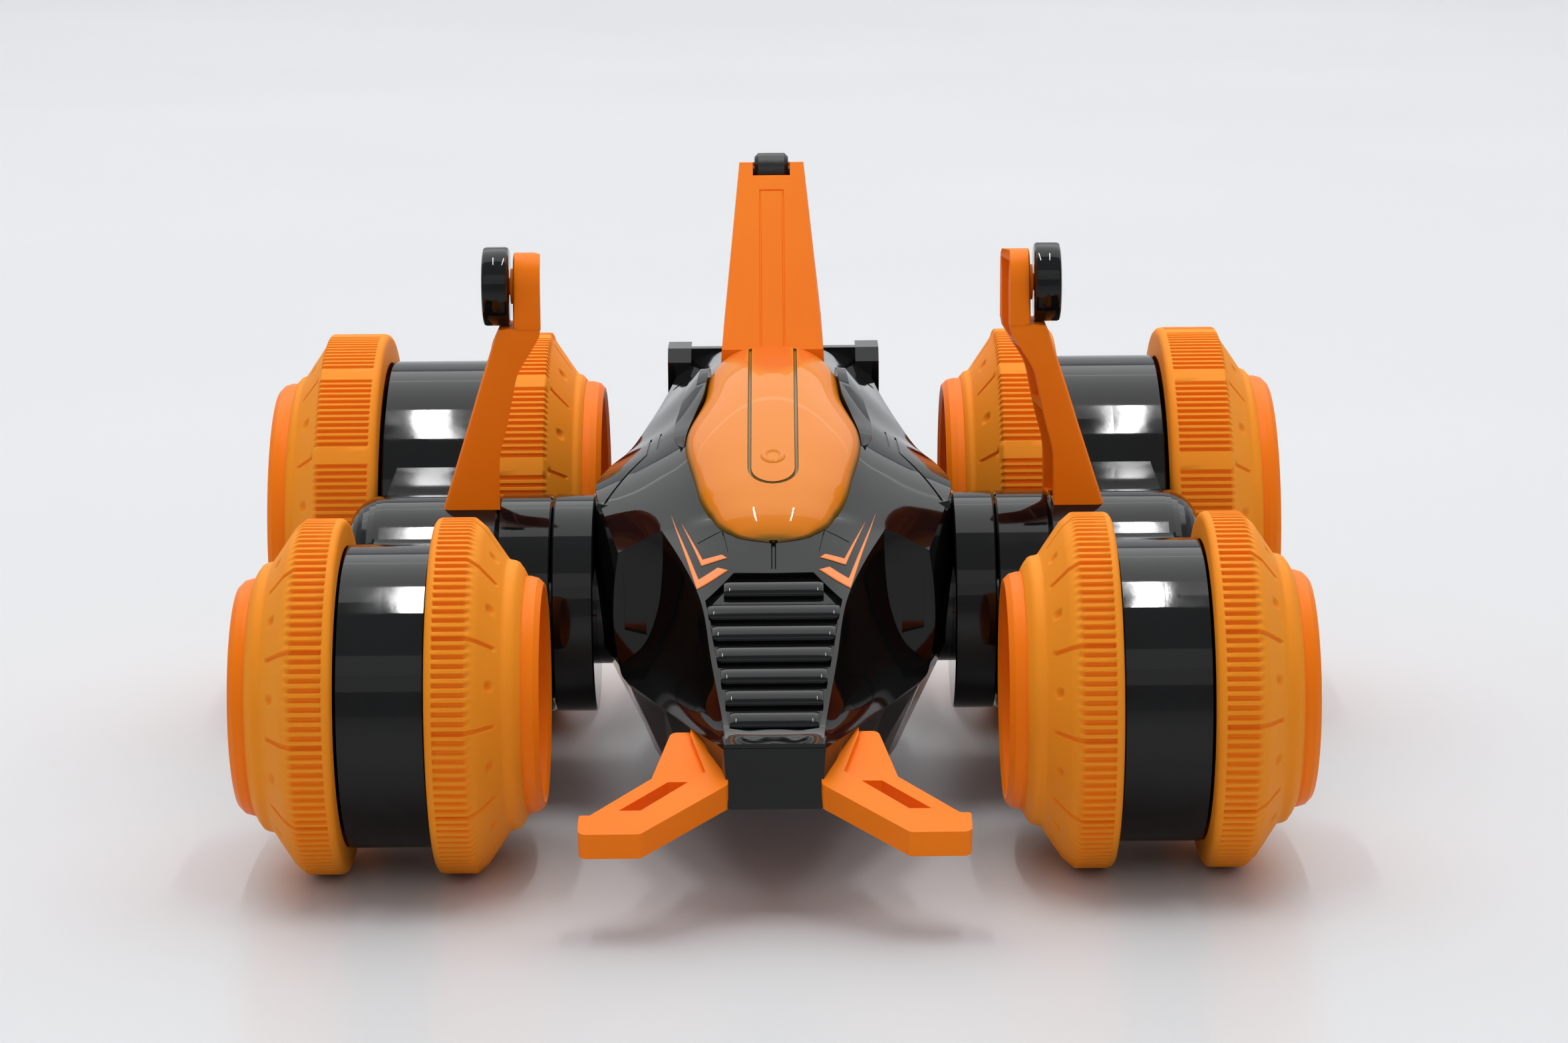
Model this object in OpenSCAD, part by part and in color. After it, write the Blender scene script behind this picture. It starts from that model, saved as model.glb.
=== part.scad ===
// Remote-controlled stunt car: a winged body hung between two swing arms.
// Each arm carries a front and a rear pair of wheels and a mast with a roller.
// +Z is up, the nose points along -Y, and the car's own left side is +X.
// The origin is on the floor, under the axis that the arms turn about.

/* [Wheels] */
// Radius of the front tyres
front_tyre_r = 32.5; // [31:0.1:33]
// Radius of the rear tyres
rear_tyre_r = 40; // [39:0.1:40.2]
// Width of a front wheel, from its drum-side edge to the end of its hub
front_wheel_w = 19.5; // [18:0.1:20]
// Width of a rear wheel, from its drum-side edge to the end of its hub
rear_wheel_w = 23.2; // [22:0.1:23.3]
// Radius of the round hub end of a front wheel
front_hub_r = 21.7; // [20:0.1:22]
// Radius of the round hub end of a rear wheel
rear_hub_r = 29.7; // [28:0.1:30]
// Radius of the geared wheel shafts
axle_r = 3; // [2.5:0.1:3.5]

/* [Swing arms] */
// Height of the axis that the arms turn about
pivot_z = 36.9; // [36:0.1:38]
// Distance of an arm's middle plane from the car's middle plane
arm_x = 69.6; // [69.4:0.1:71]
// Radius of the barrel in the middle of an arm
barrel_r = 21.3; // [21:0.1:21.5]
// Inner end of an arm's barrel
barrel_in_x = 43; // [42.8:0.1:44]
// Outer, rounded end of an arm's barrel
barrel_out_x = 83; // [82:0.1:84]
// Radius of the front drum
front_drum_r = 27.7; // [27:0.1:27.8]
// Half width of the front drum
front_drum_w = 7.6; // [7.4:0.1:7.7]
// Radius of the rear drum
rear_drum_r = 34.2; // [33:0.1:34.2]
// Half width of the rear drum
rear_drum_w = 9.9; // [9.6:0.1:10]
// Thickness of the arm casings
casing_t = 1.5; // [1.3:0.1:1.6]

/* [Gears] */
// Module of the wheel gears
gear_m = 1; // [1:1:1]
// Teeth on the front wheel shaft
front_teeth = 26; // [26:1:26]
// Teeth on the rear wheel shaft
rear_teeth = 32; // [32:1:32]
// Teeth on the middle gear of an arm
middle_teeth = 34; // [34:1:34]
// Teeth on the idler between the middle and the front
front_idler_teeth = 26; // [26:1:26]
// Teeth on the idler between the middle and the rear
rear_idler_teeth = 30; // [30:1:30]
// Width of the wheel gears
gear_w = 4; // [3:0.5:4]

/* [Masts] */
// Height of the top of the masts
mast_top_z = 106; // [104:0.5:108]
// Sideways place of a mast's foot
mast_foot_x = 60.2; // [59:0.1:61]
// Sideways place of a mast's top
mast_head_x = 47.7; // [47:0.1:49]
// Radius of the mast rollers
mast_roller_r = 7.6; // [7:0.1:8]
// Width of the mast rollers
mast_roller_w = 5; // [4.6:0.1:6]

/* [Body] */
// Height of the top of the fin
fin_top_z = 116; // [112:0.5:118]
// Thickness of the body shells
shell_t = 1.6; // [1.4:0.1:2]
// Height of the seam between the upper and the lower shell
seam_z = 30.6; // [30:0.1:31]
// Height of the belly
belly_z = 14; // [13:0.5:15]
// Width of the flat nose plate
nose_w = 18; // [16:0.5:18]
// Radius of the shaft that carries both arms
arm_shaft_r = 4; // [3.5:0.1:4.2]

/* [Hidden] */
$fn = 96;
front_axle_d = gear_m * (front_teeth / 2 + front_idler_teeth + middle_teeth / 2);
rear_axle_d = gear_m * (rear_teeth / 2 + rear_idler_teeth + middle_teeth / 2);
front_axle_y = -sqrt(pow(front_axle_d, 2) - pow(pivot_z - front_tyre_r, 2));
rear_axle_y = sqrt(pow(rear_axle_d, 2) - pow(rear_tyre_r - pivot_z, 2));
FRONT = [front_axle_y, front_tyre_r];
PIVOT = [0, pivot_z];
REAR = [rear_axle_y, rear_tyre_r];
front_angle = atan2(FRONT[1] - PIVOT[1], FRONT[0] - PIVOT[0]);
rear_angle = atan2(REAR[1] - PIVOT[1], REAR[0] - PIVOT[0]);
FRONT_IDLER = PIVOT + gear_m * (middle_teeth + front_idler_teeth) / 2 * [cos(front_angle), sin(front_angle)];
REAR_IDLER = PIVOT + gear_m * (middle_teeth + rear_idler_teeth) / 2 * [cos(rear_angle), sin(rear_angle)];
// The car is as long ahead of the arm axis as behind it
overall_y = rear_axle_y + rear_tyre_r;

run = 0.05;          // radial clearance of a running shaft
wheel_gap = 0.6;     // side clearance between a drum and its tyres
front_wheel_x = front_drum_w + wheel_gap;
rear_wheel_x = rear_drum_w + wheel_gap + 0.4;
hub_disc_t = 2;
hub_ring_t = 2.6;
idler_pin_r = 1.6;
middle_pin_r = 2;
casing_in_r = barrel_r - casing_t - 0.2;

// Motor stage: a small pinion beside the arm axis turns the middle gear
motor_m = 0.5;
motor_pinion_teeth = 10;
motor_wheel_teeth = 38;
motor_off = motor_m * (motor_pinion_teeth + motor_wheel_teeth) / 2;
MOTOR = [0, pivot_z - motor_off];
motor_r = 7.1;
motor_len = 17;
stage_x = arm_x - 6.4;
stage_w = 2.4;

// Arm drive in the body: a motor pinion turns a large gear on the arm shaft
arm_pinion_teeth = 10;
arm_gear_teeth = 36;
ARM_MOTOR = [(arm_pinion_teeth + arm_gear_teeth) / 2, pivot_z];
arm_gear_x = 10;
arm_gear_w = 4;
arm_shaft_end = 50;
collar_x0 = 34.7;
collar_x1 = 42.6;
spigot_r = 12;

// Hood plane and fin rake
hood_slope = 0.5;
fin_foot_y = 33;
fin_head_y = 62;
fin_roller_r = 4;
fin_roller_w = 7;
switch_len = 5;

// ---------- shared helpers ----------

// A cylinder along X, from x0 to x1, on the axis at c = [y, z]
module rod(c, r, x0, x1) {
    translate([x0, c[0], c[1]]) rotate([0, 90, 0]) cylinder(r = r, h = x1 - x0);
}

// An outline drawn in the side plane (Y, Z), extruded from x0 to x1
module side_plate(x0, x1) {
    translate([x0, 0, 0]) rotate([90, 0, 90]) linear_extrude(x1 - x0) children();
}

// A part drawn for the +X side, put on side s
module on_side(s) {
    mirror([s < 0 ? 1 : 0, 0, 0]) children();
}

// A profile of [distance along X, radius] points turned about the axis at c
module turned(c, x0, outline) {
    translate([x0, c[0], c[1]]) rotate([0, 90, 0]) rotate_extrude()
        polygon([for (p = outline) [p[1], p[0]]]);
}

function deg(rad) = rad * 180 / PI;
function involute(a) = tan(a) * 180 / PI - a;
// Half the angle that a tooth spans at radius q
function tooth_half(m, n, q, play) =
    let (r = m * n / 2, base = r * cos(20))
    deg((PI * m / 2 - play) / (2 * r)) + involute(20) - (q > base ? involute(acos(base / q)) : 0);

// Outline of a spur gear; tall is the height of a tooth above the pitch circle in modules
function gear_outline(m, n, tall, play) =
    let (r = m * n / 2, tip = r + tall * m, root = r - 1.25 * m, base = max(r * cos(20), root + 0.01))
    let (steps = [root, base, (base + r) / 2, r, (r + tip) / 2, tip])
    [for (i = [0:n - 1]) each concat(
        [for (q = steps) let (a = i * 360 / n - tooth_half(m, n, q, play)) q * [cos(a), sin(a)]],
        [for (k = [5:-1:0]) let (q = steps[k], a = i * 360 / n + tooth_half(m, n, q, play)) q * [cos(a), sin(a)]])];

module gear(c, m, n, turn, x0, x1, tall = 1, play = 0.14) {
    translate([x0, c[0], c[1]]) rotate([90, 0, 90]) rotate(turn)
        linear_extrude(x1 - x0) polygon(gear_outline(m, n, tall, play));
}

// Turn of a gear of n2 teeth that meshes with one of n1 teeth, turned by t1, in direction dir
function mesh_turn(t1, n1, n2, dir) =
    let (phase = (dir - t1) * n1 / 360)
    dir + 180 - (0.5 - phase) * 360 / n2;

rear_turn = 0;
rear_idler_turn = mesh_turn(rear_turn, rear_teeth, rear_idler_teeth, rear_angle + 180);
middle_turn = mesh_turn(rear_idler_turn, rear_idler_teeth, middle_teeth, rear_angle + 180);
front_idler_turn = mesh_turn(middle_turn, middle_teeth, front_idler_teeth, front_angle);
front_turn = mesh_turn(front_idler_turn, front_idler_teeth, front_teeth, front_angle);
motor_pinion_turn = mesh_turn(middle_turn, motor_wheel_teeth, motor_pinion_teeth, -90);
arm_pinion_turn = mesh_turn(0, arm_gear_teeth, arm_pinion_teeth, 0);

// A solid through a list of rings, each a list of the same number of points
module loft(rings) {
    n = len(rings[0]);
    last = len(rings) - 1;
    polyhedron(
        points = [for (ring = rings) each ring],
        faces = concat(
            [[for (i = [0:n - 1]) i]],
            [for (k = [0:last - 1], i = [0:n - 1]) let (a = k * n + i, b = k * n + (i + 1) % n)
                each [[a, a + n, b], [b, a + n, b + n]]],
            [[for (i = [n - 1:-1:0]) last * n + i]]));
}

// Mirrors the [x, z] points of the +X half, listed from the top down, into a closed ring at y
function ring(y, half) = concat(
    [for (p = half) [p[0], y, p[1]]],
    [for (i = [len(half) - 1:-1:0]) if (half[i][0] > 0) [-half[i][0], y, half[i][1]]]);

// ---------- body ----------

function hood_z(y) = 31.8 + hood_slope * (y + 82);

// Body stations: y, seam half width, shoulder, deck edge, mid deck, and crown height
cheek_y = -26;
hood_stations = [
    [-88, [nose_w / 2, seam_z], [nose_w / 2, seam_z + 0.3], [nose_w / 2 - 0.3, seam_z + 0.9], [6, 31.6], 31.6],
    [-82, [11.6, seam_z], [9.4, 31.9], [8.8, hood_z(-82) + 0.6], [6, hood_z(-82)], hood_z(-82)],
    [-66, [17.8, seam_z], [11.7, 39.5], [11.1, hood_z(-66) + 0.6], [8, hood_z(-66)], hood_z(-66)],
    [-49, [24.2, seam_z], [14.2, 47.6], [13.5, hood_z(-49) + 0.4], [9, hood_z(-49)], hood_z(-49)],
    [-37, [28.3, seam_z], [18, 52.2], [17.3, 53.2], [10, hood_z(-37) + 0.2], hood_z(-37)],
    [cheek_y - 0.6, [29.6, seam_z], [21.6, 55.6], [21, 56.4], [12, 59], 59.8]
];
deck_stations = [
    [cheek_y, [29.6, seam_z], [29.4, 52.4], [21, 56.6], [12, 59], 59.9],
    [-15, [32, seam_z], [32.4, 57.2], [22, 61.6], [13, 64.4], 65.6],
    [-5, [34, seam_z], [34.4, 60.2], [20.5, 66], [12.5, 69], 70.2],
    [10, [33.6, seam_z], [32.4, 61.8], [18.5, 69.6], [12, 74], 75.2],
    [22, [31.4, seam_z], [29, 62.7], [17, 71.4], [11.5, 77], 78.4],
    [40, [28, seam_z + 1], [25.2, 65.4], [15.6, 73.4], [10, 76.6], 77.4],
    [60, [25, seam_z + 2], [22.2, 67.6], [15.8, 72.4], [10, 75.1], 75.4],
    [86, [22, seam_z + 3], [20.6, 67.8], [13.6, 72.4], [10.6, 73], 73.2]
];

function station_half(s) = [[0, s[5]], s[4], s[3], s[2], s[1]];
// The same outline moved inwards by the shell thickness, and open below the seam
function inner_half(s, t) = [
    [0, s[5] - t], [s[4][0], s[4][1] - t], [s[3][0] - t * 0.6, s[3][1] - t],
    [s[2][0] - t, s[2][1] - t * 0.8], [s[1][0] - t, s[1][1] - 2]];

body_stations = concat(hood_stations, deck_stations);

module skin() {
    loft([for (s = body_stations) ring(s[0], station_half(s))]);
}

// The space inside the upper shell, a shell thickness behind every wall
module body_room(t) {
    last = len(body_stations) - 1;
    loft([for (i = [0:last]) let (s = body_stations[i])
        let (y = s[0] + (i == 0 || abs(s[0] - cheek_y) < 1 ? t : i == last ? -t : 0))
        ring(y, inner_half(s, t))]);
}

module grille_recess() {
    lean = atan(hood_slope);
    translate([0, -82, hood_z(-82)]) rotate([lean, 0, 0]) translate([0, 0, -0.9]) linear_extrude(3)
        polygon([[-7.4, 3.4], [7.4, 3.4], [11.8, 36], [7, 44], [-7, 44], [-11.8, 36]]);
}

module louvres() {
    for (i = [0:5]) let (y = -77 + i * 5.6, w = 7.6 + i * 0.85)
        translate([0, y, hood_z(y) - 0.4]) rotate([26.6, 0, 0]) cube([2 * w, 2.6, 1.4], center = true);
}

module upper_shell() {
    color("#15171a") difference() {
        skin();
        body_room(shell_t);
        side_plate(-36, 36) translate([0, pivot_z]) circle(spigot_r + 0.1);
        // canopy screw post and fin sockets
        translate([0, -15, 50]) cylinder(r = 1.4, h = 20);
        for (y = [50, 72]) translate([0, y, 55]) cylinder(r = 1.6, h = 30);
        grille_recess();
    }
    color("#15171a") louvres();
}

lower_stations = [
    [-88, [nose_w / 2, seam_z - 0.1], [nose_w / 2 - 0.8, 19.5]],
    [-80, [12.2, seam_z - 0.1], [10, 17.6]],
    [-60, [20, seam_z - 0.1], [15, 15.2]],
    [-40, [27.2, seam_z - 0.1], [20, belly_z]],
    [-26, [29.6, seam_z - 0.1], [23, belly_z]],
    [-5, [34, seam_z - 0.1], [26, belly_z]],
    [10, [33.6, seam_z - 0.1], [26, belly_z]],
    [34, [29, seam_z + 0.6], [23.4, belly_z]],
    [81.5, [22.5, seam_z + 2.7], [18.4, belly_z]],
    [86, [22, seam_z + 2.9], [17, 18]]
];

module lower_skin(t, lift) {
    last = len(lower_stations) - 1;
    loft([for (i = [0:last]) let (s = lower_stations[i], y = s[0] + (i == 0 ? t : i == last ? -t : 0))
        ring(y, [[s[1][0] - t, s[1][1] + lift], [s[2][0] - t, s[2][1] + t], [0, s[2][1] + t]])]);
}

door_y0 = 30;
door_y1 = 74;
door_w = 34;
module lower_shell() {
    color("#1b1d20") difference() {
        lower_skin(0, 0);
        lower_skin(shell_t, 2);
        side_plate(-36, 36) translate([0, pivot_z]) circle(spigot_r + 0.1);
        translate([-door_w / 2, door_y0, belly_z - 1]) cube([door_w, door_y1 - door_y0, 4]);
        translate([-2.6, -40, belly_z - 1]) cube([5.2, 9, 4]);
        for (p = screw_places) translate([p[0], p[1], belly_z - 1]) cylinder(r = 1.5, h = 6);
        for (p = screw_places) translate([p[0], p[1], belly_z - 1]) cylinder(r = 2.8, h = 2);
    }
}

screw_places = [[-18, -28], [18, -28], [-19, 22], [19, 22], [-14, 78], [14, 78]];
module shell_screws() {
    color("#8d9095") for (p = screw_places) translate([p[0], p[1], 0]) {
        translate([0, 0, belly_z + 0.2]) cylinder(r = 2.6, h = 0.8);
        translate([0, 0, belly_z + 1]) cylinder(r = 1.4, h = 9);
    }
}

// Canopy stations: y, half width, edge height and crown height
canopy_stations = [
    [-34, 3.5, 55, 56.4], [-31.5, 8, 56, 59.2], [-26, 11.8, 57, 62.4], [-14, 15.4, 61, 68], [0, 17, 65.6, 74.2],
    [8, 16.4, 67.5, 77], [18, 12.6, 72, 80], [fin_foot_y - 0.2, 11.2, 75, 82.2]
];

module canopy() {
    color("#f7941d") resize([0, 0, 0]) difference() {
        loft([for (s = canopy_stations) let (w = s[1], e = s[2], c = s[3]) ring(s[0], [
            [0, c], [w * 0.3, e + (c - e) * 0.97], [w * 0.6, e + (c - e) * 0.84],
            [w * 0.86, e + (c - e) * 0.55], [w, e], [w - 0.6, e - 3]])]);
        skin();
        translate([0, -16, 60]) cylinder(r = 2, h = 30);
    }
}

// Raised black frames beside the rear half of the canopy
module window_trim() {
    color("#1b1d20") for (s = [-1, 1]) on_side(s) resize([0, 0, 0]) difference() {
        hull() {
            translate([17.6, 4, 67]) cylinder(r = 1.2, h = 6.4, $fn = 24);
            translate([13.8, 14, 71]) cylinder(r = 1.2, h = 7, $fn = 24);
            translate([13.2, 30, 73]) cylinder(r = 1.2, h = 7.4, $fn = 24);
        }
        skin();
    }
}

// Side outline of the fin
module fin_outline() {
    polygon([[fin_foot_y, 74], [fin_foot_y, 81.4], [fin_head_y, fin_top_z], [fin_head_y + 14, fin_top_z - 1.6],
        [fin_head_y + 20, 68], [fin_head_y + 18, 62], [45, 66]]);
}

fin_roller_y = fin_head_y + 4.6;
fin_roller_z = fin_top_z - 2.6;
module fin() {
    color("#ff7f1e") difference() {
        intersection() {
            side_plate(-12, 12) fin_outline();
            translate([0, 110, 0]) rotate([90, 0, 0]) linear_extrude(90)
                polygon([[-11.6, 60], [-10.3, 81], [-6.6, fin_top_z + 0.1], [6.6, fin_top_z + 0.1],
                    [10.3, 81], [11.6, 60]]);
        }
        // hollow from below
        intersection() {
            side_plate(-9, 9) offset(delta = -1.8) fin_outline();
            translate([0, 110, 0]) rotate([90, 0, 0]) linear_extrude(90)
                polygon([[-9.8, 60], [-8.5, 81], [-4.8, fin_top_z - 9], [4.8, fin_top_z - 9], [8.5, 81], [9.8, 60]]);
        }
        // roller notch, with a shaft bore
        translate([-fin_roller_w / 2 - 0.3, fin_roller_y - fin_roller_r - 0.4, fin_roller_z - fin_roller_r - 0.4])
            cube([fin_roller_w + 0.6, 2 * fin_roller_r + 0.8, 20]);
        rod([fin_roller_y, fin_roller_z], 1.2 + run, -5.4, 5.4);
        // long panel pressed into the front face
        fin_panel();
    }
}

module fin_panel() {
    lean = atan2(fin_head_y - fin_foot_y, fin_top_z - 81.4);
    translate([0, fin_foot_y, 81.4]) rotate([-lean, 0, 0])
        translate([-2.5, -1, 1]) cube([5, 1.8, 37]);
}

module fin_roller() {
    color("#1b1d20") {
        turned([fin_roller_y, fin_roller_z], -fin_roller_w / 2, [[0, 0], [0, fin_roller_r - 0.8],
            [0.8, fin_roller_r], [fin_roller_w - 0.8, fin_roller_r], [fin_roller_w, fin_roller_r - 0.8],
            [fin_roller_w, 0]]);
        rod([fin_roller_y, fin_roller_z], 1.2, -5.3, 5.3);
    }
}

tusk_tilt = 20;
tusk_t = 5.2;
// The tilted plate's lowest front edge is level with the front of the car
tusk_shift = tusk_t / 2 * sin(tusk_tilt) - 0.2 * cos(tusk_tilt);
module front_tusk() {
    color("#ff7f1e") translate([0, tusk_shift - overall_y, 17]) rotate([tusk_tilt, 0, 0]) {
        difference() {
            linear_extrude(tusk_t, center = true) difference() {
                offset(r = 1.4, $fn = 32) polygon([[9.6, 18.8], [9.6, 15.2], [23.8, 1.6], [32.6, 1.6], [32.6, 5],
                    [20.4, 17.6], [17.4, 31], [13.8, 31]]);
                polygon([[13.8, 17.2], [22.2, 8.8], [27.2, 8.8], [18.8, 17.2]]);
            }
            // top stepped down behind a raised front rim
            translate([0, 0, 1.4]) linear_extrude(3)
                polygon([[12.2, 18.6], [24.6, 5.8], [36, 5.8], [36, 40], [15, 40], [15, 30]]);
        }
    }
}

// Chevron outlines beside the grille
chevrons = [
    [[19.4, -22.5], [14.2, -46.6], [8.4, -41.4], [10.4, -40.6], [13.9, -43.6]],
    [[17.4, -25.6], [13.4, -39.8], [8.6, -38.2], [9.6, -37.2], [13.2, -38]]
];

// Two nested chevrons a side, stickers that follow the hood
module decals() {
    sticker_t = 0.25;
    color("#ff9a3c") for (s = [-1, 1], outline = chevrons) on_side(s) resize([0, 0, 0]) difference() {
        intersection() {
            translate([0, 0, 20]) linear_extrude(60) polygon(outline);
            translate([0, 0, sticker_t]) skin();
        }
        skin();
    }
}

module rear_wing() {
    color("#1b1d20") {
        union() {
            translate([-21.4, 84, 63]) cube([42.8, 3, 10.4]);
            for (s = [-1, 1]) on_side(s) side_plate(17.6, 22.6)
                polygon([[80, 59], [80, 71], [83, 73.6], [92, 73.6], [94, 69], [90, 59]]);
            translate([-14, 78, 60]) cube([28, 8, 8]);
        }
    }
}

// ---------- inside the body ----------

module battery_pack() {
    color("#2f6db5") translate([0, 52, belly_z + 10.2]) rotate([90, 0, 0]) linear_extrude(40, center = true)
        offset(r = 2, $fn = 32) square([28, 12], center = true);
}

module battery_door() {
    color("#1b1d20") difference() {
        translate([-door_w / 2 + 0.15, door_y0 + 0.15, belly_z]) cube([door_w - 0.3, door_y1 - door_y0 - 0.3, 1.6]);
        for (i = [0:4]) translate([-12, door_y0 + 6 + 2.6 * i, belly_z - 0.1]) cube([24, 1.2, 0.7]);
    }
}

module circuit_board() {
    color("#1f7a3d") translate([-14, -58, 22]) cube([28, 30, 1.6]);
    color("#2b2b2e") translate([-6, -50, 23.6]) cube([9, 9, 1.8]);
    color("#2b2b2e") translate([6, -42, 23.6]) cube([6, 6, 3]);
}

module power_switch() {
    color("#2b2b2e") {
        translate([-2.2, -39.6, belly_z + 0.2]) cube([4.4, switch_len, 1.2]);
        translate([-1.2, -38.4, belly_z - 0.9]) cube([2.4, 2, 1.3]);
        translate([-3.6, -40.4, belly_z + shell_t + 0.2]) cube([7.2, 5, 1]);
        translate([-2.2, -39.6, belly_z + 1.3]) cube([4.4, 3.2, 0.6]);
    }
}

module arm_bearings() {
    color("#1b1d20") for (s = [-1, 1]) on_side(s) difference() {
        union() {
            turned(PIVOT, collar_x0, [[0, 0], [0, barrel_r - 0.3], [0.3, barrel_r],
                [collar_x1 - collar_x0 - 0.3, barrel_r], [collar_x1 - collar_x0, barrel_r - 0.3],
                [collar_x1 - collar_x0, 0]]);
            rod(PIVOT, spigot_r, 24, collar_x0 + 0.1);
        }
        rod(PIVOT, barrel_r - 2.5, collar_x0 + 2, collar_x1 + 1);
        rod(PIVOT, arm_shaft_r + run, 20, 50);
    }
}

module arm_shaft() {
    color("#b9bcc2") rod(PIVOT, arm_shaft_r, -arm_shaft_end, arm_shaft_end);
}

module arm_gear() {
    color("#f1efe6") difference() {
        union() {
            gear(PIVOT, 1, arm_gear_teeth, 0, arm_gear_x, arm_gear_x + arm_gear_w, 0.6, 0.2);
            rod(PIVOT, 7, arm_gear_x - 2, arm_gear_x + arm_gear_w + 2);
        }
        rod(PIVOT, arm_shaft_r, 0, 30);
        for (a = [0:60:300]) rod(PIVOT + 12 * [cos(a), sin(a)], 3, 0, 30);
    }
}

module arm_motor() {
    color("#a9acb2") difference() {
        union() {
            rod(ARM_MOTOR, 9.9, -17, 7);
            rod(ARM_MOTOR, 3, 6.9, 8.6);
            rod(ARM_MOTOR, 2.4, -18.6, -16.9);
        }
        rod(ARM_MOTOR, 1 + run, -20, 20);
    }
}

module arm_motor_pinion() {
    color("#c9a24a") {
        gear(ARM_MOTOR, 1, arm_pinion_teeth, arm_pinion_turn, arm_gear_x - 0.6, arm_gear_x + arm_gear_w + 0.6, 0.8, 0.2);
        rod(ARM_MOTOR, 1, -14, arm_gear_x + 2);
    }
}

// ---------- swing arms ----------

// One drum, stepped down to a side flange that the tyre hangs over
module drum(c, r, w, x0, x1) {
    rod(c, r, max(x0, arm_x - w), min(x1, arm_x + w));
    rod(c, r * 0.9, max(x0, arm_x - w - 1.3), min(x1, arm_x + w + 1.3));
}

module neck(grow, half_w, x0, x1) {
    u = [-sin(front_angle), cos(front_angle)];
    v = [-sin(rear_angle), cos(rear_angle)];
    side_plate(max(x0, arm_x - half_w), min(x1, arm_x + half_w)) {
        polygon([FRONT - (17 + grow) * u, FRONT + (17 + grow) * u, PIVOT + (17 + grow) * u, PIVOT - (17 + grow) * u]);
        polygon([REAR - (19 + grow) * v, REAR + (19 + grow) * v, PIVOT + (19 + grow) * v, PIVOT - (19 + grow) * v]);
    }
}

end_round = 7;
module barrel_outside(x0, x1) {
    intersection() {
        turned(PIVOT, barrel_in_x, concat(
            [[0, 0], [0, barrel_r - 0.3], [0.3, barrel_r]],
            [for (g = [53.3]) each [[g - barrel_in_x - 0.5, barrel_r], [g - barrel_in_x, barrel_r - 0.5],
                [g - barrel_in_x + 0.5, barrel_r]]],
            [for (a = [90:-10:0]) [barrel_out_x - barrel_in_x - end_round + end_round * cos(a),
                barrel_r - end_round + end_round * sin(a)]],
            [[barrel_out_x - barrel_in_x, 0]]));
        rod(PIVOT, 60, x0, x1);
    }
}

module arm_outside(x0, x1) {
    drum(FRONT, front_drum_r, front_drum_w, x0, x1);
    drum(REAR, rear_drum_r, rear_drum_w, x0, x1);
    neck(0, 7, x0, x1);
    barrel_outside(x0, x1);
}

module arm_inside(x0, x1) {
    rod(FRONT, front_drum_r - casing_t, max(x0, arm_x - front_drum_w + casing_t), min(x1, arm_x + front_drum_w - casing_t));
    rod(REAR, rear_drum_r - casing_t, max(x0, arm_x - rear_drum_w + casing_t), min(x1, arm_x + rear_drum_w - casing_t));
    neck(-casing_t, 5.5, x0, x1);
    rod(PIVOT, casing_in_r, max(x0, barrel_in_x + 1.6), min(x1, barrel_out_x - 8));
    rod(PIVOT, casing_in_r - 6, max(x0, barrel_in_x + 1.6), min(x1, barrel_out_x - 2));
}

axles = [FRONT, REAR];
idlers = [FRONT_IDLER, REAR_IDLER];
casing_screw_places = [FRONT + [-18, 12], FRONT + [-6, -21], REAR + [22, 16], REAR + [6, -27]];
socket_w = 7;
socket_l = 9.4;
mast_socket_top = pivot_z + barrel_r;

module arm_inner_casing(s) {
    color("#15171a") on_side(s) difference() {
        union() {
            difference() {
                arm_outside(0, arm_x);
                arm_inside(0, arm_x + 1);
            }
            for (c = idlers) rod(c, idler_pin_r, arm_x - 5.6, arm_x + 5);
            for (c = idlers) rod(c, 3.4, arm_x - 5.6, arm_x - 2.4);
            for (c = axles) rod(c, 5.2, arm_x - (c == FRONT ? front_drum_w : rear_drum_w) + 0.5, arm_x - 2.4);
            rod(PIVOT, 7.4, barrel_in_x, barrel_in_x + 1.7);
        }
        for (c = axles) rod(c, axle_r + run, 30, arm_x + 1);
        rod(PIVOT, arm_shaft_r, 30, arm_shaft_end + 0.01);
        mast_socket();
        for (c = casing_screw_places) rod(c, 1.2, arm_x - 5, arm_x + 1);
    }
}

module arm_outer_casing(s) {
    color("#15171a") on_side(s) difference() {
        union() {
            difference() {
                arm_outside(arm_x, 100);
                arm_inside(arm_x - 1, 100);
            }
            for (c = idlers) rod(c, 3.4, arm_x + 2.4, arm_x + 5.6);
            for (c = axles) rod(c, 5.2, arm_x + 2.4, arm_x + (c == FRONT ? front_drum_w : rear_drum_w) - 0.5);
            rod(PIVOT, middle_pin_r, stage_x - 0.6, barrel_out_x - 1.9);
            rod(PIVOT, 4, arm_x + gear_w / 2 + 0.4, barrel_out_x - 1.9);
        }
        for (c = axles) rod(c, axle_r + run, arm_x - 1, 110);
        for (c = idlers) rod(c, idler_pin_r, arm_x - 1, arm_x + 5);
        for (c = casing_screw_places) rod(c, 1.3, arm_x - 1, arm_x + 12);
    }
}

module casing_screws(s) {
    color("#8d9095") on_side(s) for (c = casing_screw_places) {
        rod(c, 1.2, arm_x - 5, arm_x + 5);
    }
}

module mast_socket() {
    translate([mast_foot_x - socket_w / 2, -socket_l / 2, mast_socket_top - 4.5]) cube([socket_w, socket_l, 10]);
}

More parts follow.
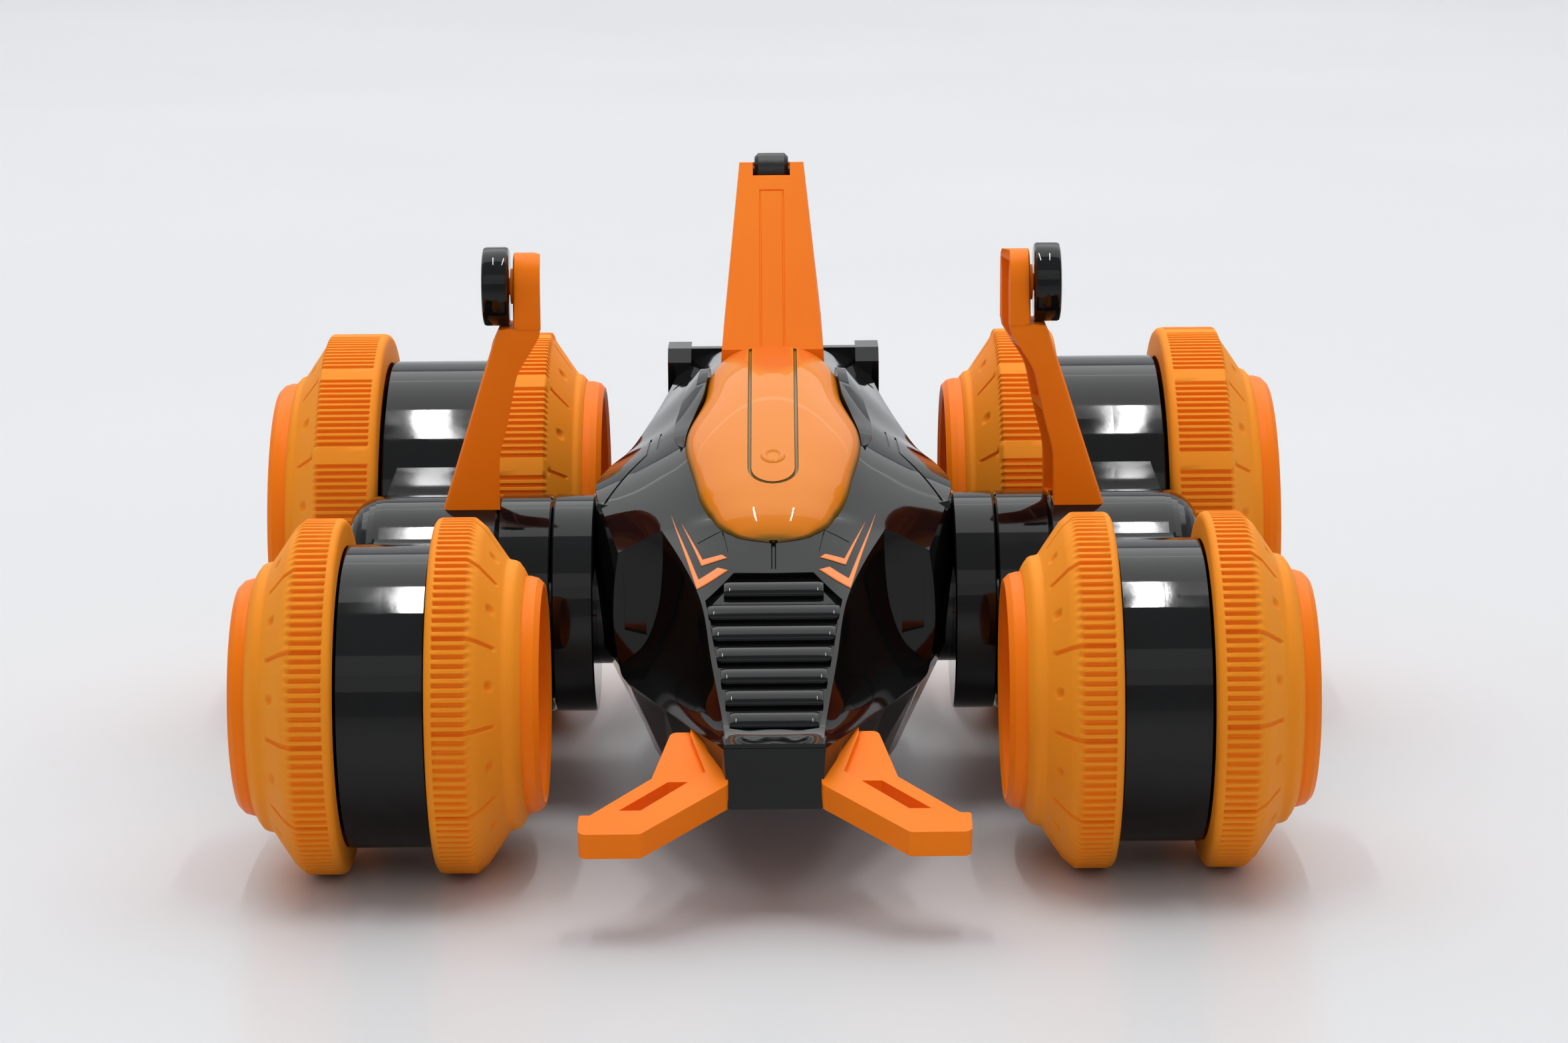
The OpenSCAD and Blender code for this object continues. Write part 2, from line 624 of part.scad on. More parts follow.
// Front outline of a mast, from its tongue in the barrel to its head
module mast_front(grow) {
    step_z = mast_top_z - 15.5;
    offset(delta = grow) polygon([
        [mast_foot_x - 5, 57], [mast_foot_x + 5.2, 57], [mast_foot_x + 3.4, 66], [53.6, step_z - 4],
        [51.9, step_z], [mast_head_x + 2.6, step_z + 2.5], [mast_head_x + 2.2, mast_top_z],
        [mast_head_x - 2.4, mast_top_z], [mast_head_x - 2.8, step_z], [47.6, step_z - 5], [52.6, 68]]);
}

mast_roller_z = mast_top_z - 6.4;
mast_roller_x = mast_head_x + 2.9;
module mast(s) {
    color("#ff7f1e") on_side(s) difference() {
        union() {
            difference() {
                intersection() {
                    translate([0, 8, 0]) rotate([90, 0, 0]) linear_extrude(16) mast_front(0);
                    side_plate(40, 70) polygon([[-7, 56], [-5.2, mast_top_z - 5], [-3.4, mast_top_z - 1],
                        [0, mast_top_z + 0.1], [3.4, mast_top_z - 1], [5.2, mast_top_z - 5], [7, 56]]);
                }
                // channel, open towards the body, with two ribs left across it
                for (z = [[62, 76], [77.4, 88], [89.4, 101]]) mast_channel(z[0], z[1]);
            }
            translate([mast_foot_x - socket_w / 2 + 0.2, -socket_l / 2 + 0.1, mast_socket_top - 4.4])
                cube([socket_w - 0.4, socket_l - 0.2, 6]);
            rod([0, mast_roller_z], 2.4, mast_head_x + 1, mast_roller_x - 0.25);
            rod([0, mast_roller_z], 1.6, mast_head_x + 1, mast_roller_x + mast_roller_w);
            rod([0, mast_roller_z], 2.6, mast_roller_x + mast_roller_w - 0.75, mast_roller_x + mast_roller_w);
        }
        rod(PIVOT, barrel_r + 0.02, mast_foot_x - 12, mast_foot_x - socket_w / 2 + 0.2);
        rod(PIVOT, barrel_r + 0.02, mast_foot_x + socket_w / 2 - 0.2, mast_foot_x + 12);
    }
}

module mast_channel(z0, z1) {
    intersection() {
        translate([-2.2, 5, 0]) rotate([90, 0, 0]) linear_extrude(10) mast_front(0);
        side_plate(30, 70) polygon([[-5, z0], [-4.2, z1], [4.2, z1], [5, z0]]);
    }
}

module mast_roller(s) {
    x0 = mast_roller_x;
    w = mast_roller_w;
    color("#15171a") on_side(s) difference() {
        turned([0, mast_roller_z], x0, [[0, 0], [0, mast_roller_r - 1], [1, mast_roller_r],
            [w - 1, mast_roller_r], [w, mast_roller_r - 1], [w, 0]]);
        rod([0, mast_roller_z], 1.6 + run, x0 - 1, x0 + w + 1);
        rod([0, mast_roller_z], 2.9, x0 + w - 1, x0 + w + 1);
    }
}

module drive_motor(s) {
    color("#a9acb2") on_side(s) difference() {
        union() {
            rod(MOTOR, motor_r, stage_x - 1.4 - motor_len, stage_x - 1.4);
            rod(MOTOR, 2, stage_x - 1.5, stage_x - 0.6);
        }
        rod(MOTOR, 0.75 + run, stage_x - 12, stage_x);
    }
}

module motor_pinion(s) {
    color("#c9a24a") on_side(s) {
        gear(MOTOR, motor_m, motor_pinion_teeth, motor_pinion_turn, stage_x - 0.2, stage_x + stage_w + 0.2, 0.8, 0.12);
        rod(MOTOR, 0.75, stage_x - 11, stage_x);
    }
}

module middle_gear(s) {
    color("#f1efe6") on_side(s) difference() {
        union() {
            gear(PIVOT, gear_m, middle_teeth, middle_turn, arm_x - gear_w / 2, arm_x + gear_w / 2);
            gear(PIVOT, motor_m, motor_wheel_teeth, middle_turn, stage_x, stage_x + stage_w, 0.6, 0.12);
            rod(PIVOT, 5, stage_x, arm_x);
        }
        rod(PIVOT, middle_pin_r + run, 40, 90);
    }
}

module idler(s, c, teeth, turn) {
    color("#f1efe6") on_side(s) difference() {
        gear(c, gear_m, teeth, turn, arm_x - gear_w / 2, arm_x + gear_w / 2);
        rod(c, idler_pin_r + run, 40, 90);
        for (a = [0:60:300]) rod(c + 7.4 * [cos(a), sin(a)], 2, 40, 90);
    }
}

// ---------- wheels ----------

module geared_shaft(s, c, teeth, turn, wheel_x, disc_u) {
    half = wheel_x + disc_u + hub_disc_t;
    color("#f1efe6") on_side(s) {
        gear(c, gear_m, teeth, turn, arm_x - gear_w / 2, arm_x + gear_w / 2);
        rod(c, axle_r, arm_x - half, arm_x + half);
    }
}

// Puts a part drawn outwards from u = 0 on the outer (1) or the inner (-1) side of an arm
module at_wheel(s, c, wheel_x, dir) {
    on_side(s) translate([arm_x + dir * wheel_x, c[0], c[1]]) mirror([dir < 0 ? 1 : 0, 0, 0]) children();
}

// Tyre outline in [distance from the drum side, radius]: flat tread, sloping shoulder and bead
function front_tyre_outline(r, hub) = [
    [0, r - 5], [0, r - 1], [1, r], [7.1, r], [9.1, r - 1.75], [13, r - 7.45], [14.4, r - 8], [15.4, r - 8.8],
    [16.4, hub + 0.3], [16.4, hub - 1.4], [12, hub - 1.4], [7.6, r - 5]];
function rear_tyre_outline(r, hub) = [
    [0, r - 6], [0, r - 1.2], [1.2, r], [12.2, r], [12.7, r - 1.46], [17.5, r - 8.6], [18.6, r - 9.1],
    [19.4, hub + 0.2], [19.4, hub - 1.4], [16.4, hub - 1.4], [12, r - 6]];

module tyre(s, c, wheel_x, dir, outline) {
    color("#f7a13c") at_wheel(s, c, wheel_x, dir) turned([0, 0], 0, outline);
}

// Hub: rim that fills the tyre, round end ring, and a recessed disc with openings
module hub(s, c, wheel_x, dir, rim, w, hub_r, disc_u) {
    ring_in = hub_r - hub_ring_t;
    color("#ff7f1e") at_wheel(s, c, wheel_x, dir) difference() {
        union() {
            turned([0, 0], 0, concat([[disc_u, 0]], rim, [[w - 2.4, hub_r], [w - 1, hub_r - 0.4], [w, hub_r - 1.4],
                [w, ring_in + 0.6], [w - 0.6, ring_in], [disc_u + hub_disc_t, ring_in], [disc_u + hub_disc_t, 0]]));
            rod([0, 0], 5.4, 3, disc_u + hub_disc_t + 1.4);
        }
        rod([0, 0], axle_r, 0, disc_u + hub_disc_t);
        for (a = [0:45:315]) rotate([a, 0, 0]) {
            rod([0, ring_in - 3.4], 2, disc_u - 1, disc_u + hub_disc_t + 1);
            rod([0, ring_in - 6.6], 1.5, disc_u - 1, disc_u + hub_disc_t + 1);
        }
    }
}

front_disc_u = 9.5;
rear_disc_u = 13.4;
front_rim = [[front_disc_u, front_tyre_r - 7.7], [12, front_hub_r - 1.4], [16.4, front_hub_r - 1.4], [16.4, front_hub_r]];
rear_rim = [[rear_disc_u, rear_tyre_r - 9], [16.4, rear_hub_r - 1.4], [19.4, rear_hub_r - 1.4], [19.4, rear_hub_r]];

module front_hub(s, dir) {
    hub(s, FRONT, front_wheel_x, dir, front_rim, front_wheel_w, front_hub_r, front_disc_u);
}
module rear_hub(s, dir) {
    hub(s, REAR, rear_wheel_x, dir, rear_rim, rear_wheel_w, rear_hub_r, rear_disc_u);
}
module front_tyre(s, dir) {
    tyre(s, FRONT, front_wheel_x, dir, front_tyre_outline(front_tyre_r, front_hub_r));
}
module rear_tyre(s, dir) {
    tyre(s, REAR, rear_wheel_x, dir, rear_tyre_outline(rear_tyre_r, rear_hub_r));
}
module front_shaft(s) {
    geared_shaft(s, FRONT, front_teeth, front_turn, front_wheel_x, front_disc_u);
}
module rear_shaft(s) {
    geared_shaft(s, REAR, rear_teeth, rear_turn, rear_wheel_x, rear_disc_u);
}

// ---------- nodes ----------

upper_shell();
lower_shell();
canopy();
window_trim();
fin();
fin_roller();
on_side(1) front_tusk();  // left_front_tusk
on_side(-1) front_tusk();  // right_front_tusk
decals();
rear_wing();
battery_pack();
battery_door();
circuit_board();
power_switch();
arm_bearings();
arm_shaft();
arm_gear();
arm_motor();
arm_motor_pinion();
shell_screws();
arm_inner_casing(1);  // left_arm_inner_casing
arm_outer_casing(1);  // left_arm_outer_casing
mast(1);  // left_mast
mast_roller(1);  // left_mast_roller
drive_motor(1);  // left_drive_motor
motor_pinion(1);  // left_motor_pinion
middle_gear(1);  // left_middle_gear
idler(1, FRONT_IDLER, front_idler_teeth, front_idler_turn);  // left_front_idler
idler(1, REAR_IDLER, rear_idler_teeth, rear_idler_turn);  // left_rear_idler
casing_screws(1);  // left_casing_screws
arm_inner_casing(-1);  // right_arm_inner_casing
arm_outer_casing(-1);  // right_arm_outer_casing
mast(-1);  // right_mast
mast_roller(-1);  // right_mast_roller
drive_motor(-1);  // right_drive_motor
motor_pinion(-1);  // right_motor_pinion
middle_gear(-1);  // right_middle_gear
idler(-1, FRONT_IDLER, front_idler_teeth, front_idler_turn);  // right_front_idler
idler(-1, REAR_IDLER, rear_idler_teeth, rear_idler_turn);  // right_rear_idler
casing_screws(-1);  // right_casing_screws
front_shaft(1);  // left_front_geared_shaft
front_hub(1, -1);  // left_front_inner_hub
front_hub(1, 1);  // left_front_outer_hub
front_tyre(1, -1);  // left_front_inner_tyre
front_tyre(1, 1);  // left_front_outer_tyre
rear_shaft(1);  // left_rear_geared_shaft
rear_hub(1, -1);  // left_rear_inner_hub
rear_hub(1, 1);  // left_rear_outer_hub
rear_tyre(1, -1);  // left_rear_inner_tyre
rear_tyre(1, 1);  // left_rear_outer_tyre
front_shaft(-1);  // right_front_geared_shaft
front_hub(-1, -1);  // right_front_inner_hub
front_hub(-1, 1);  // right_front_outer_hub
front_tyre(-1, -1);  // right_front_inner_tyre
front_tyre(-1, 1);  // right_front_outer_tyre
rear_shaft(-1);  // right_rear_geared_shaft
rear_hub(-1, -1);  // right_rear_inner_hub
rear_hub(-1, 1);  // right_rear_outer_hub
rear_tyre(-1, -1);  // right_rear_inner_tyre
rear_tyre(-1, 1);  // right_rear_outer_tyre
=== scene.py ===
"""Looks of a remote-controlled stunt car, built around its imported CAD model.

Lengths below are in millimetres and MM turns them into Blender's metres. The nose points along -Y,
+Z is up and the car's own left side is +X, as in the CAD model.
"""

import math
from contextlib import contextmanager

import bmesh
import bpy
import numpy as np
from mathutils import Matrix, Vector
from mathutils.bvhtree import BVHTree


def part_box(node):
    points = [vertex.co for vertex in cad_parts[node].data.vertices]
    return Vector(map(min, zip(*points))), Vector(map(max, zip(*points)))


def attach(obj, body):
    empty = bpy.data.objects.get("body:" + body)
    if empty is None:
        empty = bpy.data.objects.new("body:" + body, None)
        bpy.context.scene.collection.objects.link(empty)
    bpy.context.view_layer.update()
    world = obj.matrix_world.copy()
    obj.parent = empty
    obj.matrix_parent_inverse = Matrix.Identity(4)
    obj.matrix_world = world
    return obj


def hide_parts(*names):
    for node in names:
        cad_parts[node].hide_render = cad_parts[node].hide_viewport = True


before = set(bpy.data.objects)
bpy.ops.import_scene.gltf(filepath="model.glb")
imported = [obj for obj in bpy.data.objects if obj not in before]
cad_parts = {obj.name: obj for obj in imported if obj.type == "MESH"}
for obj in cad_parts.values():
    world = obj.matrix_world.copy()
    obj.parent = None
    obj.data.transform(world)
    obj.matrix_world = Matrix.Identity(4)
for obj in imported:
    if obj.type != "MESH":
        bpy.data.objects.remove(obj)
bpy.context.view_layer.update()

MM = 0.001
SIDES = {"left": 1, "right": -1}


# ---------- materials ----------

def new_material(name):
    material = bpy.data.materials.new(name)
    material.use_nodes = True
    nodes, links = material.node_tree.nodes, material.node_tree.links
    return material, nodes, links, nodes["Principled BSDF"]


def noise(nodes, links, scale, detail):
    """A noise texture in object space; scale counts features per metre."""
    coords = nodes.new("ShaderNodeTexCoord")
    texture = nodes.new("ShaderNodeTexNoise")
    texture.inputs["Scale"].default_value = scale
    texture.inputs["Detail"].default_value = detail
    links.new(coords.outputs["Object"], texture.inputs["Vector"])
    return texture


def ramp(nodes, links, source, stops):
    """A colour ramp over a 0 to 1 value, from [(position, colour), ...]."""
    made = nodes.new("ShaderNodeValToRGB")
    elements = made.color_ramp.elements
    while len(elements) < len(stops):
        elements.new(0.5)
    for element, (position, colour) in zip(elements, stops):
        element.position = position
        element.color = (*colour, 1)
    links.new(source, made.inputs["Fac"])
    return made.outputs["Color"]


def grey(value):
    return (value, value, value)


def add_bump(nodes, links, shader, height, strength, distance):
    bump = nodes.new("ShaderNodeBump")
    bump.inputs["Strength"].default_value = strength
    bump.inputs["Distance"].default_value = distance
    links.new(height, bump.inputs["Height"])
    links.new(bump.outputs["Normal"], shader.inputs["Normal"])


def moulded(name, dark, light, rough, grain, grain_scale, bump, specular=0.5, coat=0.0):
    """Moulded plastic: slow colour drift, uneven gloss and a fine grain."""
    material, nodes, links, shader = new_material(name)
    drift = noise(nodes, links, 28, 3)
    colour = ramp(nodes, links, drift.outputs["Fac"], [(0.3, dark), (0.7, light)])
    links.new(colour, shader.inputs["Base Color"])
    smudge = noise(nodes, links, 75, 6)
    low, high = rough
    links.new(ramp(nodes, links, smudge.outputs["Fac"], [(0.35, grey(low)), (0.72, grey(high))]),
              shader.inputs["Roughness"])
    fine = noise(nodes, links, grain_scale, 4)
    add_bump(nodes, links, shader, fine.outputs["Fac"], grain, bump * MM)
    shader.inputs["Specular IOR Level"].default_value = specular
    shader.inputs["Coat Weight"].default_value = coat
    shader.inputs["Coat Roughness"].default_value = 0.05
    return material


def tinted(nodes, links, colour, attribute, tint):
    """The colour, turning to the tint where a mesh attribute goes from 0 to 1."""
    amount = nodes.new("ShaderNodeAttribute")
    amount.attribute_name = attribute
    mix = nodes.new("ShaderNodeMix")
    mix.data_type = "RGBA"
    links.new(amount.outputs["Fac"], mix.inputs["Factor"])
    links.new(colour, mix.inputs["A"])
    mix.inputs["B"].default_value = (*tint, 1)
    return mix.outputs["Result"]


def tyre_rubber():
    """Soft orange rubber with painted shade in its grooves, where it turns darker and redder."""
    material, nodes, links, shader = new_material("orange_rubber")
    drift = noise(nodes, links, 40, 5)
    base = ramp(nodes, links, drift.outputs["Fac"],
                [(0.3, (0.93, 0.285, 0.012)), (0.7, (0.98, 0.325, 0.018))])
    # painted shade: a darker, redder tint where the tyre is cut in, in the grooves, slots and dimples
    links.new(tinted(nodes, links, base, "groove_shade", (0.93, 0.235, 0.007)), shader.inputs["Base Color"])
    smudge = noise(nodes, links, 130, 6)
    links.new(ramp(nodes, links, smudge.outputs["Fac"], [(0.3, grey(0.52)), (0.7, grey(0.66))]),
              shader.inputs["Roughness"])
    fine = noise(nodes, links, 2600, 4)
    add_bump(nodes, links, shader, fine.outputs["Fac"], 0.25, 0.06 * MM)
    shader.inputs["Specular IOR Level"].default_value = 0.15
    shader.inputs["Subsurface Weight"].default_value = 0.15
    shader.inputs["Subsurface Radius"].default_value = (0.004, 0.0015, 0.0005)
    return material


def canopy_plastic():
    """Clear-coated orange whose rim turns olive and which darkens where the fin's foot is under it."""
    material, nodes, links, shader = new_material("canopy_orange")
    rim = nodes.new("ShaderNodeAttribute")
    rim.attribute_name = "rim"
    colour = ramp(nodes, links, rim.outputs["Fac"], [
        (0.0, (0.80, 0.23, 0.004)), (0.6, (0.80, 0.22, 0.003)), (0.84, (0.68, 0.20, 0.003)),
        (0.955, (0.20, 0.105, 0.003))])
    links.new(tinted(nodes, links, colour, "under", (0.78, 0.145, 0.002)), shader.inputs["Base Color"])
    smudge = noise(nodes, links, 60, 5)
    links.new(ramp(nodes, links, smudge.outputs["Fac"], [(0.35, grey(0.42)), (0.7, grey(0.55))]),
              shader.inputs["Roughness"])
    shader.inputs["Specular IOR Level"].default_value = 0.1
    fine = noise(nodes, links, 300, 2)
    add_bump(nodes, links, shader, fine.outputs["Fac"], 0.08, 0.04 * MM)
    shader.inputs["Coat Weight"].default_value = 0.42
    shader.inputs["Coat Roughness"].default_value = 0.04
    return material


def metal(name, colour, rough):
    material, nodes, links, shader = new_material(name)
    drift = noise(nodes, links, 90, 4)
    dark = tuple(0.8 * c for c in colour)
    links.new(ramp(nodes, links, drift.outputs["Fac"], [(0.3, dark), (0.7, colour)]),
              shader.inputs["Base Color"])
    lines = nodes.new("ShaderNodeTexWave")
    lines.inputs["Scale"].default_value = 1400
    lines.inputs["Distortion"].default_value = 2
    add_bump(nodes, links, shader, lines.outputs["Fac"], 0.1, 0.02 * MM)
    shader.inputs["Metallic"].default_value = 1.0
    shader.inputs["Roughness"].default_value = rough
    return material


black_gloss = moulded("black_gloss", grey(0.003), (0.005, 0.0056, 0.006), (0.03, 0.085), 0.05, 500, 0.03, 0.3)
black_satin = moulded("black_satin", grey(0.007), grey(0.012), (0.26, 0.4), 0.2, 1500, 0.05, 0.45)
orange_abs = moulded("orange_abs", (0.98, 0.2, 0.002), (1.0, 0.225, 0.003), (0.36, 0.48), 0.18, 1800, 0.05,
                     0.14)
orange_ink = moulded("orange_ink", (0.86, 0.22, 0.03), (0.93, 0.26, 0.045), (0.28, 0.4), 0.1, 900, 0.02, 0.4)
rubber = tyre_rubber()
canopy_orange = canopy_plastic()
groove_olive = moulded("groove_olive", (0.16, 0.085, 0.003), (0.24, 0.12, 0.004), (0.2, 0.3), 0.1, 700, 0.02)
nylon = moulded("gear_nylon", (0.78, 0.76, 0.68), (0.86, 0.84, 0.77), (0.4, 0.5), 0.15, 900, 0.04)
battery_wrap = moulded("battery_wrap", (0.02, 0.10, 0.33), (0.03, 0.14, 0.42), (0.2, 0.35), 0.15, 400, 0.05)
board_green = moulded("board_green", (0.01, 0.12, 0.03), (0.015, 0.18, 0.05), (0.25, 0.4), 0.15, 700, 0.05)
steel = metal("steel", (0.56, 0.57, 0.6), 0.3)
brass = metal("brass", (0.72, 0.5, 0.2), 0.28)


# ---------- mesh helpers ----------

def new_mesh(name, points, faces, material):
    """A mesh from points in millimetres."""
    mesh = bpy.data.meshes.new(name)
    mesh.from_pydata([tuple(float(c) * MM for c in p) for p in points], [], [tuple(f) for f in faces])
    mesh.materials.append(material)
    return mesh


def new_object(name, data):
    obj = bpy.data.objects.new(name, data)
    bpy.context.scene.collection.objects.link(obj)
    return obj


@contextmanager
def editing(mesh):
    """A bmesh of the mesh, written back at the end."""
    work = bmesh.new()
    work.from_mesh(mesh)
    yield work
    work.to_mesh(mesh)
    work.free()


def piece(name, points, faces, material, body, replaces=(), sharp=38):
    """A mesh object from points in millimetres, riding on a body."""
    mesh = new_mesh(name, points, faces, material)
    mesh.validate()
    obj = new_object(name, mesh)
    finish_shading(obj, sharp)
    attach(obj, body)
    if replaces:
        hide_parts(*replaces)
    return obj


def finish_shading(obj, sharp):
    obj.data.shade_smooth()
    obj.data.set_sharp_from_angle(angle=math.radians(sharp))


def round_edges(obj, width, angle=32, segments=2):
    edges = obj.modifiers.new("edges", "BEVEL")
    edges.width = width * MM
    edges.segments = segments
    edges.limit_method = "ANGLE"
    edges.angle_limit = math.radians(angle)
    edges.harden_normals = True
    return edges


def bake(obj, sharp=38):
    """Turns an object's modifiers into plain mesh."""
    graph = bpy.context.evaluated_depsgraph_get()
    mesh = bpy.data.meshes.new_from_object(obj.evaluated_get(graph))
    obj.modifiers.clear()
    obj.data = mesh
    finish_shading(obj, sharp)


def weld(obj, gap=0.001):
    """Joins points that coincide and turns every face outwards."""
    with editing(obj.data) as work:
        bmesh.ops.remove_doubles(work, verts=work.verts, dist=gap * MM)
        bmesh.ops.recalc_face_normals(work, faces=work.faces)


def loose(name, points, faces, material):
    """A cutter, which isn't part of the object."""
    mesh = new_mesh(name, points, faces, material)
    with editing(mesh) as work:
        bmesh.ops.recalc_face_normals(work, faces=work.faces)
    return new_object(name, mesh)


def carve(obj, cutters, sharp=38, solver="EXACT"):
    """Cuts the cutters out of obj and removes them."""
    for cutter in cutters:
        cut = obj.modifiers.new("cut", "BOOLEAN")
        cut.object = cutter
        cut.solver = solver
        cut.material_mode = "TRANSFER"
    bake(obj, sharp)
    for cutter in cutters:
        bpy.data.objects.remove(cutter)


def grid_faces(rows, columns, close_rows=False, close_columns=False):
    return [
        (r * columns + c, r * columns + (c + 1) % columns,
         (r + 1) % rows * columns + (c + 1) % columns, (r + 1) % rows * columns + c)
        for r in range(rows - (not close_rows)) for c in range(columns - (not close_columns))
    ]


def hermite(xs, values, at):
    """A smooth curve through values at xs, read at the places given."""
    xs, values, at = np.asarray(xs, float), np.asarray(values, float), np.asarray(at, float)
    if len(xs) > 2:
        slopes = np.gradient(values, xs, axis=0)
    else:
        slopes = np.repeat((values[1:] - values[:1]) / (xs[1] - xs[0]), 2, 0)
    i = np.clip(np.searchsorted(xs, at) - 1, 0, len(xs) - 2)
    shape = (-1,) + (1,) * (values.ndim - 1)
    h = (xs[i + 1] - xs[i]).reshape(shape)
    t = ((at - xs[i]).reshape(shape)) / h
    return ((2 * t**3 - 3 * t**2 + 1) * values[i] + (t**3 - 2 * t**2 + t) * h * slopes[i]
            + (3 * t**2 - 2 * t**3) * values[i + 1] + (t**3 - t**2) * h * slopes[i + 1])


def across(points, creases, per_segment):
    """A cross-section through control points, smooth except at the creases."""
    points = np.asarray(points, float)
    ends = [0, *creases, len(points) - 1]
    out = [points[0]]
    for a, b in zip(ends, ends[1:]):
        run = points[a:b + 1]
        far = np.concatenate([[0], np.cumsum(np.linalg.norm(np.diff(run, axis=0), axis=1))])
        at = np.concatenate([np.linspace(far[k], far[k + 1], per_segment + 1)[1:] for k in range(b - a)])
        out.extend(hermite(far, run, at))
    return np.array(out)


def both_halves(half):
    """A full section from the +X half, listed from the middle outwards."""
    left = half[:0:-1] * np.array([-1, 1, 1])
    return np.concatenate([left, half])


def tube(points, radius, sides=8):
    """Points and faces of a closed tube along a path."""
    points = np.asarray(points, float)
    rows = []
    for k, p in enumerate(points):
        ahead = points[min(k + 1, len(points) - 1)] - points[max(k - 1, 0)]
        ahead /= np.linalg.norm(ahead)
        side = np.cross(ahead, (0, 0, 1))
        side = side / np.linalg.norm(side) if np.linalg.norm(side) > 1e-6 else np.array((1.0, 0, 0))
        up = np.cross(side, ahead)
        turn = [2 * math.pi * j / sides for j in range(sides)]
        rows += [p + radius * (math.cos(a) * side + math.sin(a) * up) for a in turn]
    faces = grid_faces(len(points), sides, close_columns=True)
    last = (len(points) - 1) * sides
    return rows, faces + [tuple(range(sides))[::-1], tuple(range(last, last + sides))]


def prism(outline, direction, near, far):
    """Points and faces of an outline pushed along a direction, from near to far."""
    outline, direction = np.asarray(outline, float), np.asarray(direction, float)
    n = len(outline)
    points = [*(outline + near * direction), *(outline + far * direction)]
    faces = [tuple(range(n)), tuple(range(2 * n - 1, n - 1, -1))]
    return points, faces + [(i, i + n, (i + 1) % n + n, (i + 1) % n) for i in range(n)]


def offset_faces(base, faces):
    """The faces, with their point numbers counted from base."""
    return [tuple(base + i for i in face) for face in faces]


def drop(tree, x, y, lift=0.0):
    """The point of a surface under (x, y), lifted along its normal."""
    hit, normal, _, _ = tree.ray_cast(Vector((x, y, 200)), Vector((0, 0, -1)))
    return np.array(hit + normal * (lift if normal.z > 0 else -lift))


def dense(path, step=1.0):
    """A polyline with a point at least every step."""
    out = [np.array(path[0], float)]
    for a, b in zip(path, path[1:]):
        a, b = np.array(a, float), np.array(b, float)
        count = max(1, math.ceil(np.linalg.norm(b - a) / step))
        out += [a + (b - a) * k / count for k in range(1, count + 1)]
    return out


def groove_cutter(name, tree, line, radius):
    """A cutter that follows a surface along a line given from above."""
    path = [drop(tree, x, y) for x, y in dense(line, 2.0)]
    return loose(name, *tube(path, radius, 6), black_gloss)


# ---------- camera, light and floor ----------

def make_camera():
    data = bpy.data.cameras.new("camera")
    data.lens = 91.24
    data.sensor_width = 36
    camera = new_object("camera", data)
    tilt = Matrix.Rotation(math.radians(90 - 11.783), 4, "X")
    roll = Matrix.Rotation(math.radians(-0.5), 4, "Z")
    camera.matrix_world = Matrix.Translation((0.002, -0.76046, 0.21137)) @ tilt @ roll
    bpy.context.scene.camera = camera


def soft_light(name, place, target, size, power):
    data = bpy.data.lights.new(name, "AREA")
    data.shape = "RECTANGLE"
    data.size, data.size_y = size
    data.energy = power
    light = new_object(name, data)
    light.location = place
    light.rotation_euler = (Vector(target) - Vector(place)).to_track_quat("-Z", "Y").to_euler()


def make_stage():
    """A pale round floor that curves up into a wall far behind."""
    material, nodes, links, shader = new_material("stage_paper")
    drift = noise(nodes, links, 3, 2)
    paper = [(0.3, (0.66, 0.665, 0.675)), (0.7, (0.69, 0.695, 0.70))]
    links.new(ramp(nodes, links, drift.outputs["Fac"], paper), shader.inputs["Base Color"])
    shader.inputs["Roughness"].default_value = 0.32
    shader.inputs["Specular IOR Level"].default_value = 0.35
    flat, bend, wall, turns = 2.2, 0.7, 1.6, 96
    curve = [(0.001, 0), (0.6, 0), (flat, 0)]
    curve += [(flat + bend * math.sin(a), bend - bend * math.cos(a))
              for a in np.linspace(0, math.pi / 2, 20)[1:]]
    curve += [(flat + bend, wall)]
    angles = [2 * math.pi * k / turns for k in range(turns)]
    rows = [(r * math.cos(a), r * math.sin(a), z) for r, z in curve for a in angles]
    mesh = bpy.data.meshes.new("stage_floor")
    mesh.from_pydata(rows, [], grid_faces(len(curve), turns, close_columns=True))
    mesh.materials.append(material)
    mesh.shade_smooth()
    floor = new_object("stage_floor", mesh)


def make_light():
    """Two thin strips right above the drums, a wide ceiling, and soft light behind and in front."""
    world = bpy.data.worlds.new("studio")
    bpy.context.scene.world = world
    world.use_nodes = True
    background = world.node_tree.nodes["Background"]
    background.inputs["Color"].default_value = (0.93, 0.96, 1.0, 1)
    background.inputs["Strength"].default_value = 0.5
    soft_light("top_left", (-0.167, -0.04, 1.15), (-0.167, -0.04, 0), (0.016, 0.5), 1.6)
    soft_light("top_right", (0.168, -0.06, 1.15), (0.168, -0.06, 0), (0.015, 0.48), 1.5)
    soft_light("ceiling", (0, 0.7, 1.7), (0, 0.6, 0), (3.0, 1.6), 23)
    soft_light("back_wash", (0, 2.1, 1.7), (0, 2.1, 0), (3.4, 1.2), 18)
    soft_light("front_fill", (0, -2.2, 1.3), (0, 0, 0), (3.4, 1.2), 6)


# ---------- wheels ----------

GROOVE_DEPTH, SLOT_DEPTH, DIMPLE_DEPTH = 0.58, 0.42, 0.5
HUB_RADIUS = {"front": 21.7, "rear": 29.7}
# One rib: share of the pitch and share of the groove's depth there
RIB = [(0.0, 0.0), (0.36, 0.0), (0.46, 0.55), (0.56, 1.0), (0.84, 1.0), (0.94, 0.55)]


